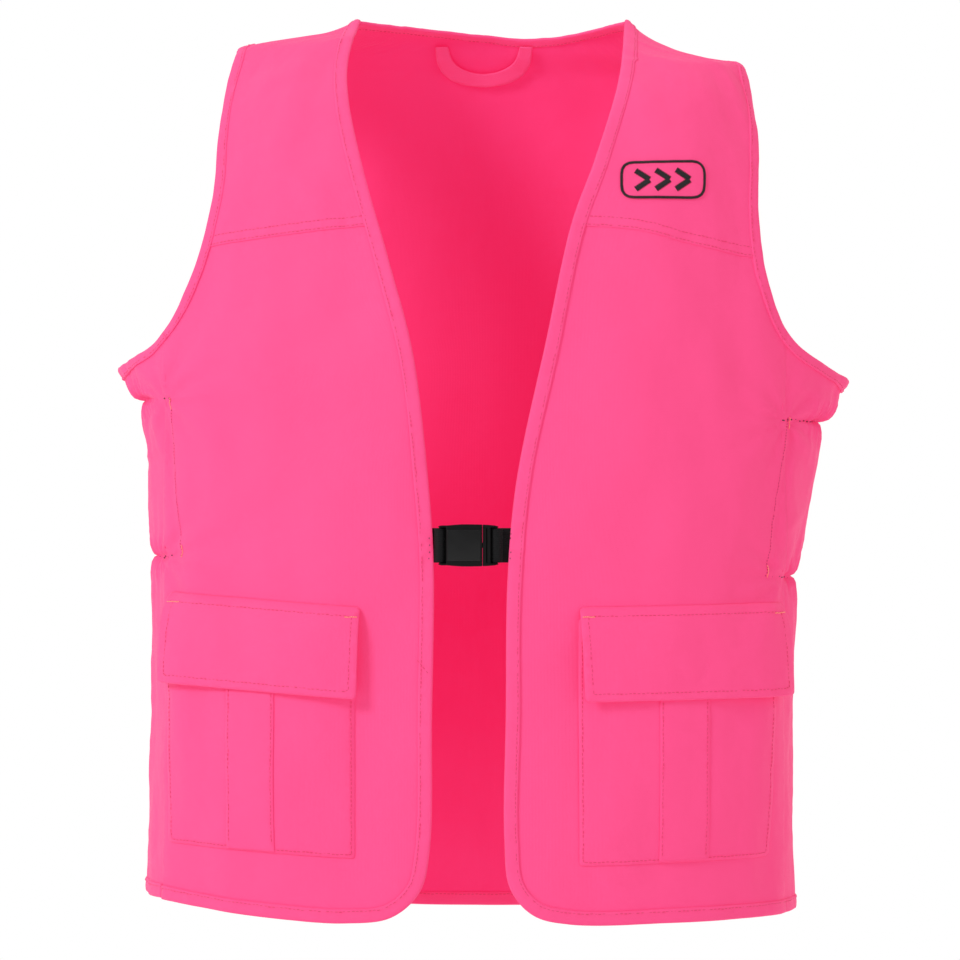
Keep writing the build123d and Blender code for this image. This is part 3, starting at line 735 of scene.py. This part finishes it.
# ---------------------------------------------------------------- fronts, yokes and sides
for side, sign in SIDES.items():
    edge, arm, yoke = front_line[side], arm_line[side], yoke_line[side]
    x_at = SEAM_X[side]
    arm_xz = flowing(FRONT_ARMHOLE[side], 40)
    at_seam = past_seam(arm_xz, side)
    arm_i, yoke_i = meeting(arm, yoke)
    edge_i, yoke_j = meeting(edge, yoke)

    # the front: yoke line, front edge and hem, side seam, armhole
    def along_yoke(rise):
        line = yoke + (0, rise)
        return line[meeting(arm, line)[1]:meeting(edge, line)[1]]

    tuck = along_yoke(7.0)
    seam_path = np.concatenate([edge[-1:], seam_column(side, arm_xz[at_seam][1], SIDE_HEM[side])[::-1]])
    below = closed(join_line(arm[arm_i], tuck[0]), tuck, join_line(tuck[-1], edge[edge_i]), edge[edge_i:],
                   seam_path, arm[arm_i:at_seam + 1][::-1])
    fine = [domain(straight([(x_at - sign * 1, z0 + d), (x_at - sign * 34, z0 + d)], 2.2))
            for z0 in PINCH[side] for d in (-8, -4, -1.3, 1.3, 4, 8)]
    fine += [domain(straight([(a[0] + sign * d, a[1] - 10), (b[0] + sign * d, b[1] + 10)], 3))
             for a, b in [LADDER[side]] for d in (-1.5, 0.5, 2.5, 4.5, 7)]
    front_cloth = sheet_mesh(f"{side}_front_cloth", below, material=shell_pink, inner_shade_material=inner_shade_pink, extra=fine)

    # the yoke lies over the front
    top_h = np.linspace(spread_of(RIDGE[side][1]), spread_of(SHOULDER[side][1]), 40)
    ridge = np.stack([sign * np.ones(40), top_h], -1)
    upper = closed(yoke[yoke_i:yoke_j + 1], edge[:edge_i + 1][::-1], join_line(edge[0], ridge[-1]),
                   ridge[::-1], join_line(ridge[0], arm[0]), arm[:arm_i + 1])
    row_low, row_high = along_yoke(1.3), along_yoke(7.3)
    yoke_cloth = sheet_mesh(f"{side}_yoke_cloth", upper, out=LAP, thick=0.9, step=4.0, material=shell_pink,
                            extra=[even(along_yoke(d), 3.0) for d in (3.0, 6.0, 8.5)])

    # bindings along the front edge, hem and front armhole
    edge_tape = tape(f"{side}_edge_tape", edge, sign, seed=2 + sign, base=LAP / 2)
    share = (len(even(arm[:at_seam + 1], 1)) - 1) / (len(even(arm, 1)) - 1)
    arm_tape = tape(f"{side}_armhole_tape", arm, -sign, ARMHOLE_WIDTH, seed=5 + sign, base=LAP / 2,
                    part=(0, share))
    under_tape = tape(f"{side}_underarm_tape", arm, -sign, ARMHOLE_WIDTH, seed=5 + sign, base=LAP / 2,
                      part=(share, 1))

    rows = [(moved_in(edge, EDGE_ROW, False, sign), False, LAP / 2 + 1.0),
            (moved_in(arm[:at_seam + 1], ARMHOLE_ROW, False, -sign), False, LAP / 2 + 1.0),
            (row_low, False, LAP + 0.1), (row_high, False, LAP + 0.1)]
    if side == "right":
        rows.append((domain(straight([(-48.5, -460), (-40.5, -470)], 1)), False, LAP / 2 + 1.15))
    front_stitches = stitching(f"{side}_front_stitches", rows, groove_shaded_thread_pink)
    for thing in (front_cloth, yoke_cloth, edge_tape, arm_tape, front_stitches):
        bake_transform(thing)
    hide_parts(f"{side}_front_panel")
    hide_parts(f"{side}_yoke")
    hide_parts(f"{side}_front_binding", f"{side}_lapel_binding")
    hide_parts(f"{side}_underarm_binding")

    # the side panel, from the front seam round to the back seam
    front_seam = seam_column(side, arm_xz[at_seam][1], SIDE_HEM[side])
    back_xz = flowing(BACK_ARMHOLE[side])
    back_at = past_seam(back_xz, side)
    back_seam = wrapped(seam_column(side, back_xz[back_at][1], SIDE_HEM[side]))
    hem_line = np.stack([np.linspace(back_seam[-1, 0], front_seam[-1, 0], 40),
                         np.linspace(back_seam[-1, 1], front_seam[-1, 1], 40)], -1)
    back_under = wrapped(back_arm[side][back_at:])
    tucked = int(np.argmax(np.abs(arm_xz[:, 0]) > abs(x_at) - 2.5))
    tuck_seam = seam_column(side, arm_xz[tucked][1], SIDE_HEM[side], -sign * 2.5)
    side_outline = closed(arm[tucked:], back_under[::-1], back_seam, hem_line,
                          join_line(hem_line[-1], tuck_seam[-1]), tuck_seam[::-1], step=3.6)
    fine = [np.stack([np.linspace(front_seam[0, 0] + sign * 0.02, back_seam[0, 0] - sign * 0.02, 110),
                      np.full(110, z0 + d)], -1)
            for z0 in PINCH[side] for d in (-13, -9, -6, -3.6, -1.7, 0, 1.7, 3.6, 6, 9, 13)]
    side_cloth = sheet_mesh(f"{side}_side_cloth", side_outline, out=-0.12, step=3.4, material=shell_pink,
                            inner_shade_material=inner_shade_pink, extra=fine)
    side_hem_tape = tape(f"{side}_side_hem_tape", hem_line, -sign, seed=9 + sign)
    ladder = domain(straight(LADDER[side]))
    side_stitches = stitching(f"{side}_side_stitches", [
        (moved_in(arm[at_seam:], ARMHOLE_ROW, False, -sign), False, LAP / 2 + 1.0),
        (moved_in(hem_line, EDGE_ROW, False, -sign), False, 1.0)], groove_shaded_thread_pink)
    gathers = [domain(straight([(x_at - sign * 5, z0 - 0.3), (x_at, z0)], 1)) for z0 in PINCH[side]]
    gathers += [np.stack([np.linspace(front_seam[0, 0], sign * 2 - front_seam[0, 0], 80), np.full(80, z0)], -1)
                for z0 in PINCH[side]]
    gather_stitches = stitching(f"{side}_gather_stitches", [(line, False, 0.15) for line in gathers],
                                thread_black, pitch=4.4, length=1.1, radius=0.5, wobble=0.5)
    tapes = [gather_stitches]
    for level, z0 in zip(("upper", "lower"), PINCH[side]):
        start = front_seam[nearest(front_seam, (front_seam[0, 0], z0))]
        strip = np.stack([np.linspace(start[0], sign * 2 - start[0], 90), np.full(90, z0 - 3.5)], -1)
        band = np.concatenate([strip, (strip + (0, 7.0))[::-1]])
        inner = [strip + (0, d) for d in (1.8, 3.5, 5.2)]
        tapes.append(sheet_mesh(f"{side}_{level}_elastic_tape", band, out=-CLOTH - 1.3, thick=0.9, step=2.0,
                                material=elastic_black, extra=inner))
        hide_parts(f"{side}_{level}_elastic")
    for thing in (side_cloth, under_tape, side_hem_tape, side_stitches, *tapes):
        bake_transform(thing)
    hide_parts(f"{side}_side_panel")
    ladder_row = (moved_in(ladder, -0.6, False, sign), False, 0.1)
    ladder_stitches = stitching(f"{side}_ladder_stitches", [ladder_row], thread_dark, pitch=2.2, length=1.2,
                                radius=0.36)
    ladder_ends = stitching(f"{side}_ladder_ends", [
        (domain(straight([(x + 0.8, z + d), (x + 0.8, z + d + 9)], 1)), False, 0.35)
        for (x, z), d in zip(LADDER[side], (-9, 0))], thread_peach, pitch=1.5, length=1.5, radius=0.36)
    for thing in (ladder_stitches, ladder_ends):
        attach(thing, f"{side}_front")

    # the back half of the armhole
    back_tape = tape(f"{side}_back_armhole_tape", back_arm[side], sign, ARMHOLE_WIDTH, True, seed=11 + sign)
    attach(back_tape, "root")
    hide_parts(f"{side}_armhole_binding")

# ---------------------------------------------------------------- back
def shoulder_line(side):
    """Along one shoulder ridge, from the arm to the neck."""
    h = np.linspace(spread_of(RIDGE[side][1]), spread_of(SHOULDER[side][1]), 40)
    return np.stack([SIDES[side] * np.ones(40), h], -1)


right_seam, left_seam = (domain(straight([(SEAM_X[s], UNDERARM_Z), (SEAM_X[s], SIDE_HEM[s])]), True)
                         for s in SIDES)
right_arm, left_arm = (back_arm[s][:past_seam(flowing(BACK_ARMHOLE[s]), s) + 1] for s in SIDES)
right_top, left_top = shoulder_line("right"), shoulder_line("left")
back_outline = closed(
    right_arm, right_seam, back_hem, left_seam[::-1], left_arm[::-1], join_line(left_arm[0], left_top[0]),
    left_top, join_line(left_top[-1], back_neck[-1]), back_neck[::-1], join_line(back_neck[0], right_top[-1]),
    right_top[::-1], join_line(right_top[0], right_arm[0]), behind=True)
back_cloth = sheet_mesh("back_cloth", back_outline, True, material=shell_pink, inner_shade_material=inner_shade_pink)
neck_tape = tape("neck_tape", back_neck, 1, behind=True, seed=3)
back_hem_tape = tape("back_hem_tape", back_hem, -1, behind=True, seed=4)
back_stitches = stitching("back_stitches", [
    (moved_in(back_neck, EDGE_ROW, True, 1), True, 1.0), (moved_in(back_neck, EDGE_ROW, True, 1), True, -1.95),
    (moved_in(back_hem, EDGE_ROW, True, -1), True, 1.0), (moved_in(back_hem, EDGE_ROW, True, -1), True, -1.95),
    *[(moved_in(back_arm[s], ARMHOLE_ROW, True, SIDES[s]), True, 1.0) for s in SIDES],
    (right_seam + (0.006, 0), True, 0.1), (left_seam - (0.006, 0), True, 0.1)], groove_shaded_thread_pink)
for thing, node_name in ((back_cloth, "back_panel"), (neck_tape, "neck_binding"),
                         (back_hem_tape, "back_hem_binding"), (back_stitches, None)):
    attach(thing, "root")
    if node_name:
        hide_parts(node_name)

# ---------------------------------------------------------------- pockets and flaps
def corners(points, rounding=5.0):
    """A closed pattern outline with softened corners."""
    points = np.array(points, float)
    line = []
    for before, here, after in zip(np.roll(points, 1, 0), points, np.roll(points, -1, 0)):
        a = here + (before - here) / np.linalg.norm(before - here) * rounding
        b = here + (after - here) / np.linalg.norm(after - here) * rounding
        line += [a * (1 - t) ** 2 + 2 * here * t * (1 - t) + b * t * t for t in np.linspace(0, 1, 5)]
    return straight([*line, line[0]], 3.5)[:-1]


def place_in(quad, q, h):
    """Shares of the way across and down a four-cornered piece."""
    p = torso(q, h)
    x, z = p[:, 0], p[:, 2]
    (ox, ot), (_, ol), (_, il), (ix, it) = quad
    u = (x - ox) / (ix - ox)
    top = ot + (it - ot) * u
    foot = ol + (il - ol) * u
    return u, (top - z) / (top - foot)


def above(lift, extra):
    """A height over the front, raised."""
    return lambda q, h: lift(q, h) + extra


def pouch(side):
    """How far a pocket's face stands out from the front."""
    def lift(q, h):
        u, v = place_in(POCKET[side], q, h)
        across = np.clip(4 * u * (1 - u), 0, 1) ** 0.36
        down = np.clip(1 - v, 0, 1) ** 0.42
        mouth = 0.3 + 0.7 * (1 - np.exp(-np.clip(v, 0, 1) / 0.1))
        return 0.9 + PUFF * across * down * mouth * (0.85 + 0.15 * np.cos(6 * (u - 0.45)))
    return lift


def over_pouch(side):
    """How far a flap stands out: sewn down at its top, lying over the pocket below."""
    def lift(q, h):
        u, v = place_in(FLAP[side], q, h)
        rise = 1 - np.exp(-np.clip(v, 0, 1) / 0.16)
        corner = np.exp(-((1 - u) / 0.16) ** 2) * np.clip(v, 0, 1) ** 2
        waver = 0.5 * np.sin(7.5 * u + 1) * np.clip(v, 0, 1) ** 2
        bump = 0.0
        if side == "left":
            p = torso(q, h)
            x0, z0 = DISC_AT["left"]
            bump = 0.8 * np.exp(-(np.hypot(p[:, 0] - x0, p[:, 2] - z0) / 8.5) ** 4)
        return 1.5 + (FLAP_RISE - 1.5) * rise + 1.2 * corner + waver + bump
    return lift


for side, sign in SIDES.items():
    body, flap_body = f"{side}_front", f"{side}_flap"
    face = pouch(side)
    pocket = sheet_mesh(f"{side}_pocket_pouch", domain(corners(POCKET[side], 3)), out=face, thick=0.9, step=3.6,
                        material=shell_pink)
    low_x, high_x = sorted(PLEAT[side])
    strip = []
    for x in (low_x, high_x):
        u = (x - POCKET[side][0][0]) / (POCKET[side][3][0] - POCKET[side][0][0])
        top = POCKET[side][0][1] + (POCKET[side][3][1] - POCKET[side][0][1]) * u - 1
        foot = POCKET[side][1][1] + (POCKET[side][2][1] - POCKET[side][1][1]) * u + 1
        strip.append(((x, top), (x, foot)))
    (a, b), (c, d) = strip
    pleat = sheet_mesh(f"{side}_pocket_pleat", domain(corners([a, b, d, c], 1.0)),
                       out=above(face, 0.9), thick=0.9, step=3.2, material=shell_pink)
    inset = [(POCKET[side][i][0] - sign * dx, POCKET[side][i][1] + dz)
             for i, dx, dz in ((0, 2.2, 0), (1, 2.2, 2.2), (2, -2.2, 2.2), (3, -2.2, 0))]
    pocket_stitches = stitching(f"{side}_pocket_stitches", [
        (domain(straight(inset)), False, above(face, 0.12)),
        *[(domain(straight([(x, POCKET[side][0][1] - 8), (x, POCKET[side][1][1] + 3)])), False,
           above(face, 1.0)) for x in (low_x + 1.6, high_x - 1.6)]], groove_shaded_thread_pink)
    disc_ring = [(DISC_AT[side][0] + 9 * math.cos(a), DISC_AT[side][1] + 9 * math.sin(a))
                 for a in np.linspace(0, 2 * math.pi, 32, endpoint=False)]
    loop_disc = sheet_mesh(f"{side}_loop_disc", domain(disc_ring), thick=0.5, step=2.5, material=hook_loop,
                           out=above(face, 1.3))
    for thing in (pocket, pleat, pocket_stitches, loop_disc):
        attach(thing, body)
    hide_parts(f"{side}_pocket")
    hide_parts(f"{side}_pocket_fastener")

    over = over_pouch(side)
    flap_cloth = sheet_mesh(f"{side}_flap_cloth", domain(corners(FLAP[side], 3)), out=over, thick=1.6, step=3.0,
                            material=shell_pink)
    (ox, ot), (lx, ol), (mx, il), (ix, it) = FLAP[side]
    topstitch = straight([(ox - sign * 2, ot - 6), (ix + sign * 2, it - 6)])
    footstitch = straight([(ox - sign * 5, ot - 6), (lx - sign * 5, ol + 5), (mx + sign * 5, il + 5),
                           (ix + sign * 5, it - 6)])
    flap_stitches = stitching(f"{side}_flap_stitches", [
        (domain(topstitch), False, above(over, 0.08)),
        (domain(footstitch), False, above(over, 0.08))], groove_shaded_thread_pink)
    tack_lines = [[(ox - sign * 1, ot - 6.4), (ox - sign * 10, ot - 6.8)],
                  [(ix + sign * 10, it - 6.2), (ix + sign * 1, it - 6.2)]]
    flap_tacks = stitching(f"{side}_flap_tacks", [
        (domain(straight(line)), False, above(over, 0.2)) for line in tack_lines],
        thread_peach, pitch=1.5, length=1.5, radius=0.42)
    hook_disc = sheet_mesh(f"{side}_hook_disc", domain(disc_ring), thick=0.5, step=2.5, material=hook_loop,
                           out=above(over, -1.65))
    for thing in (flap_cloth, flap_stitches, flap_tacks):
        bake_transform(thing)
    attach(hook_disc, flap_body)
    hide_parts(f"{side}_pocket_flap")
    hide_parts(f"{side}_flap_fastener")

# ---------------------------------------------------------------- emblem patch
PATCH_LENGTH, PATCH_HEIGHT, PATCH_ROUND = 60, 26, 9
px, pz = PATCH_AT
box_corners = [(px - PATCH_LENGTH / 2, pz - PATCH_HEIGHT / 2), (px + PATCH_LENGTH / 2, pz - PATCH_HEIGHT / 2),
               (px + PATCH_LENGTH / 2, pz + PATCH_HEIGHT / 2), (px - PATCH_LENGTH / 2, pz + PATCH_HEIGHT / 2)]
patch_line = corners(box_corners, PATCH_ROUND)
patch = sheet_mesh("emblem_patch", domain(patch_line), out=LAP + 0.75, thick=0.7, step=2.2, material=patch_pink)
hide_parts("chest_patch")


def satin(name, paths, width, out, material, pitch=0.55):
    """Lines of close threads laid across paths, as embroidery is."""
    ends = [[], []]
    for path in paths:
        path = even(path, pitch)
        step = inward_steps(path, False, 1)
        for end, way in zip(ends, (-1, 1)):
            end.append(cloth(*(path + step * way * width / 2).T, False, np.full(len(path), float(out))))
    return capsules(name, np.concatenate(ends[0]), np.concatenate(ends[1]), 0.34, material)


rim_line = domain(np.concatenate([patch_line, patch_line[:2]]))
emblem_parts = [satin("emblem_rim", [rim_line], 2.2, LAP + 1.0, thread_black)]
for k, shift in enumerate((-14.5, 0, 14.5)):
    arms = [domain(straight([(px + shift - 5, pz + up * 6.8), (px + shift + 4.5, pz + up * 0.4)], 1.0))
            for up in (-1, 1)]
    emblem_parts.append(satin(f"emblem_chevron_{k + 1}", arms, 4.6, LAP + 0.95, thread_black))
for thing in (patch, *emblem_parts):
    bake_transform(thing)

# ---------------------------------------------------------------- hanger loop
LOOP_HALF, LOOP_TOP, LOOP_BOTTOM, LOOP_TAPE = 37, 3.0, -26, 9
loop_outer = [(LOOP_HALF, LOOP_TOP), (LOOP_HALF - 2, -9), (26, -20), (0, LOOP_BOTTOM), (-26, -20),
              (2 - LOOP_HALF, -9), (-LOOP_HALF, LOOP_TOP)]
loop_inner = [(LOOP_TAPE - LOOP_HALF, LOOP_TOP), (LOOP_TAPE - LOOP_HALF + 3, -6), (-17, -12.5), (0, -17),
              (17, -12.5), (LOOP_HALF - LOOP_TAPE - 3, -6), (LOOP_HALF - LOOP_TAPE, LOOP_TOP)]
loop_outline = closed(domain(flowing(loop_outer), True), domain(straight([loop_outer[-1], loop_inner[0]]), True),
                      domain(flowing(loop_inner), True), domain(straight([loop_inner[-1], loop_outer[0]]), True),
                      step=2.4, behind=True)
hanger_tape = sheet_mesh("hanger_tape", loop_outline, True, out=-4.2, thick=1.2, step=2.4, material=binding_pink)
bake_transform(hanger_tape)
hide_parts("hanger_loop")

# ---------------------------------------------------------------- chest strap
WEBBING_HALF, WEBBING = 12.5, 1.3
BAR = {"right": (-31.2, -111.2), "left": (8.4, -111.7)}
STRAP_IN = {"right": -38.0, "left": 17.4}


def ribbon(name, line):
    """Webbing on edge: a line in x and y, as wide as the webbing in z."""
    line = flowing(line, 8)
    run = np.gradient(line, axis=0)
    normal = np.stack([run[:, 1], -run[:, 0]], -1) / (np.linalg.norm(run, axis=1, keepdims=True) + 1e-9)
    section = [(-1, 0), (-0.985, 0.3), (-0.94, 0.5), (0, 0.5), (0.94, 0.5), (0.985, 0.3), (1, 0), (0.985, -0.3),
               (0.94, -0.5), (0, -0.5), (-0.94, -0.5), (-0.985, -0.3)]
    points = [(x + nx * t * WEBBING, y + ny * t * WEBBING, STRAP_Z + s * WEBBING_HALF)
              for (x, y), (nx, ny) in zip(line, normal) for s, t in section]
    faces = tube_faces(len(line), len(section))
    return new_object(name, points, faces, [(p[0], p[2]) for p in points], webbing_black)


def behind_cloth(x, depth):
    """A point in x and y behind the front at the strap's height."""
    at = domain([(x, STRAP_Z)])
    return tuple(cloth(at[:, 0], at[:, 1], False, -depth)[0, :2])


for side, sign in SIDES.items():
    bar_x, bar_y = BAR[side]
    start_x = STRAP_IN[side]
    back_y = bar_y + 2.1
    turn = [(bar_x - sign * 2.15 * math.sin(a), bar_y + 2.15 * math.cos(a))
            for a in np.linspace(0, math.pi, 7)]
    path = [behind_cloth(start_x + sign * 6, 3.9), behind_cloth(start_x + sign * 1.5, 4.1),
            (bar_x + sign * 3.4, back_y + 0.2), *turn, (bar_x + sign * 2.4, bar_y - 1.9),
            (bar_x + sign * 4.4, back_y - 1.5)]
    strap = ribbon(f"{side}_strap_webbing", path)
    sewn = ribbon(f"{side}_sewn_webbing", [behind_cloth(start_x + sign * d, 3.9) for d in (5, 18, 31, 45)])
    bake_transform(strap)
    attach(sewn, f"{side}_front")
    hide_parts(f"{side}_webbing")
    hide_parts(f"{side}_webbing_anchor")
    tack_x = start_x + sign * 1.6
    tack = domain(straight([(tack_x, STRAP_Z + 11.5), (tack_x, STRAP_Z - 11.5)]))
    strap_tacks = stitching(f"{side}_strap_tacks", [(tack, False, LAP / 2 + 1.15)], thread_black, pitch=4.6,
                            length=1.1, radius=0.38, wobble=0.4)
    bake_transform(strap_tacks)

# ---------------------------------------------------------------- buckle
BUCKLE_Y, BUCKLE_DEPTH = -112.0, 9.0


def moulding(name, parts, body, material, nodes=()):
    """Bevelled mouldings joined into one piece: each part is (outline in x and height, near y, far y, bevel)."""
    work = bmesh.new()
    for outline, near, far, bevel in parts:
        part = bmesh.new()
        rings = [[part.verts.new((x * MM, y * MM, (STRAP_Z + z) * MM)) for x, z in outline] for y in (near, far)]
        part.faces.new(rings[0])
        part.faces.new(rings[1][::-1])
        for k in range(len(outline)):
            j = (k + 1) % len(outline)
            part.faces.new((rings[0][j], rings[0][k], rings[1][k], rings[1][j]))
        bmesh.ops.recalc_face_normals(part, faces=part.faces)
        sharp = [e for e in part.edges if e.calc_face_angle(0) > math.radians(25)]
        bmesh.ops.bevel(part, geom=sharp, offset=bevel * MM, segments=3, profile=0.6, affect="EDGES")
        mesh = bpy.data.meshes.new("part")
        part.to_mesh(mesh)
        work.from_mesh(mesh)
        part.free()
        bpy.data.meshes.remove(mesh)
    mesh = bpy.data.meshes.new(name)
    work.to_mesh(mesh)
    work.free()
    for polygon in mesh.polygons:
        polygon.use_smooth = True
    mesh.materials.append(material)
    thing = bpy.data.objects.new(name, mesh)
    bpy.context.scene.collection.objects.link(thing)
    mesh.set_sharp_from_angle(angle=math.radians(38))
    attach(thing, body)
    if nodes:
        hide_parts(*nodes)
    return thing


def block(x_low, x_high, z_low, z_high):
    return [(x_low, z_low), (x_high, z_low), (x_high, z_high), (x_low, z_high)]


def round_bar(x, y, half, radius=1.4, count=16):
    """A round bar along z."""
    ring = [(x + radius * math.cos(a), y + radius * math.sin(a))
            for a in np.linspace(0, 2 * math.pi, count, endpoint=False)]
    points = [(a, b, STRAP_Z + s * half) for s in (-1, 1) for a, b in ring]
    faces = [(k, (k + 1) % count, count + (k + 1) % count, count + k) for k in range(count)]
    return points, faces


near, far = BUCKLE_Y - BUCKLE_DEPTH / 2, BUCKLE_Y + BUCKLE_DEPTH / 2
barrel = [(-27.5, 14.3), (-22, 14.8), (-16, 15.2), (-9, 15.2), (-1.3, 15.0)]
shell = barrel + [(x, -z) for x, z in barrel[::-1]]
housing = moulding("buckle_housing_body", [
    (shell, near, near + 1.7, 0.6), (shell, far - 1.6, far, 0.6),
    *[(block(*where), near + 1.2, far - 1.2, 0.3) for where in (
        (-27.5, -21.5, 11.9, 14.3), (-27.5, -21.5, -14.3, -11.9), (-10.9, -1.6, 11.9, 13.6),
        (-10.9, -1.6, -13.6, -11.9), (-27.5, -25.6, -13, 13))],
    ([(-33, 13.0), (-33, 13.9), (-31, 14.4), (-26, 14.4), (-26, 13.0)], near + 0.8, far - 0.6, 0.4),
    ([(-26, -13.0), (-26, -14.4), (-31, -14.4), (-33, -13.9), (-33, -13.0)], near + 0.8, far - 0.6, 0.4),
    (block(-30.6, -21, -13.2, 13.2), far - 0.6, far, 0.15),
], "right_strap", buckle_black, ("buckle_housing",))
plate = moulding("buckle_plate", [(block(-26.6, -2.6, -11.2, 11.2), near - 0.7, near + 0.6, 0.55)],
                 "right_strap", buckle_gloss)
insert_near, insert_far = BUCKLE_Y - 4, BUCKLE_Y + 4
rail_top = [(4.0, 13.0), (10.3, 13.0), (10.3, 13.7), (7.5, 14.4), (3, 14.8), (-1.1, 15.0),
            (-1.1, 12.4), (4.0, 12.4)]
insert = moulding("buckle_insert_body", [
    (block(-1.1, 1.6, -13.6, 13.6), insert_near, insert_far, 0.6),
    (block(2.2, 4.6, -13.4, 13.4), insert_near + 0.5, insert_far - 0.5, 0.6),
    (rail_top, insert_near, insert_far, 0.5), ([(x, -z) for x, z in rail_top[::-1]], insert_near, insert_far, 0.5),
    (block(-21, -0.8, -1.8, 1.8), BUCKLE_Y - 1.6, BUCKLE_Y + 1.6, 0.3),
    (block(-1.0, 9.6, -13.2, 13.2), insert_far - 0.5, insert_far + 0.1, 0.15),
    *[(block(5.0 + 1.3 * k, 5.5 + 1.3 * k, -12.2, 12.2), insert_far - 0.9, insert_far - 0.3, 0.1)
      for k in range(3)],
], "left_strap", buckle_black, ("buckle_insert",))
for side in SIDES:
    points, faces = round_bar(*BAR[side], 13.4)
    bar = new_object(f"{side}_buckle_bar", points, faces, None, buckle_black)
    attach(bar, f"{side}_strap")
ARM_SHAPE = [(-1.4, 7.6), (-21, 7.6), (-21, 11.2), (-18, 15.0), (-12.2, 15.3), (-11.6, 10.6), (-1.4, 10.6)]
for level, up in (("upper", 1), ("lower", -1)):
    moulding(f"buckle_{level}_arm", [([(x, up * z) for x, z in ARM_SHAPE], BUCKLE_Y - 2.2, BUCKLE_Y + 2.2, 0.4)],
             f"buckle_arm_{level}", buckle_black, (f"buckle_arm_{level}",))

# ---------------------------------------------------------------- floor, light and colour
FLOOR_Z = -0.76
bpy.ops.mesh.primitive_circle_add(vertices=128, radius=2.6, fill_type="NGON", location=(0, -2.14, FLOOR_Z))
floor = bpy.context.active_object
floor.name = "floor"
floor_material, floor_tree, floor_shader = new_material("floor_white", (0.8, 0.8, 0.8), 0.6)
floor_shader.inputs["Emission Color"].default_value = (1, 1, 1, 1)
floor_shader.inputs["Emission Strength"].default_value = 0.22
speckle = node(floor_tree, "ShaderNodeTexNoise", Scale=40.0)
floor_tree.links.new(mixed(floor_tree, speckle.outputs["Fac"], (0.78, 0.78, 0.78), (0.82, 0.82, 0.82)),
                     floor_shader.inputs["Base Color"])
floor.data.materials.append(floor_material)


def soft_light(name, place, aim, size, power):
    """A square lamp that faces a point."""
    light = bpy.data.objects.new(name, bpy.data.lights.new(name, "AREA"))
    light.data.size = size
    light.data.energy = power
    light.location = place
    light.rotation_euler = (Vector(aim) - Vector(place)).to_track_quat("-Z", "Y").to_euler()
    bpy.context.scene.collection.objects.link(light)


soft_light("key", (-2.1, -1.9, 1.2), (0, 0, -0.3), 0.9, 68)
soft_light("fill", (1.8, -1.8, 0.2), (0, 0, -0.35), 1.8, 8)
soft_light("top", (0, 0.2, 1.8), (0, 0, -0.2), 1.6, 8)
# the room is white behind the vest and dimmer in front of it
world = bpy.data.worlds.new("studio")
world.use_nodes = True
room = world.node_tree
facing = node(room, "ShaderNodeSeparateXYZ")
room.links.new(node(room, "ShaderNodeTexCoord").outputs["Generated"], facing.inputs[0])
brightness = remap(room, facing.outputs["Y"], -0.5, 0.1, 0.45, 1.0)
room.nodes["Background"].inputs["Color"].default_value = (1, 1, 1, 1)
room.links.new(brightness, room.nodes["Background"].inputs["Strength"])
bpy.context.scene.world = world
bpy.context.scene.view_settings.view_transform = "Standard"
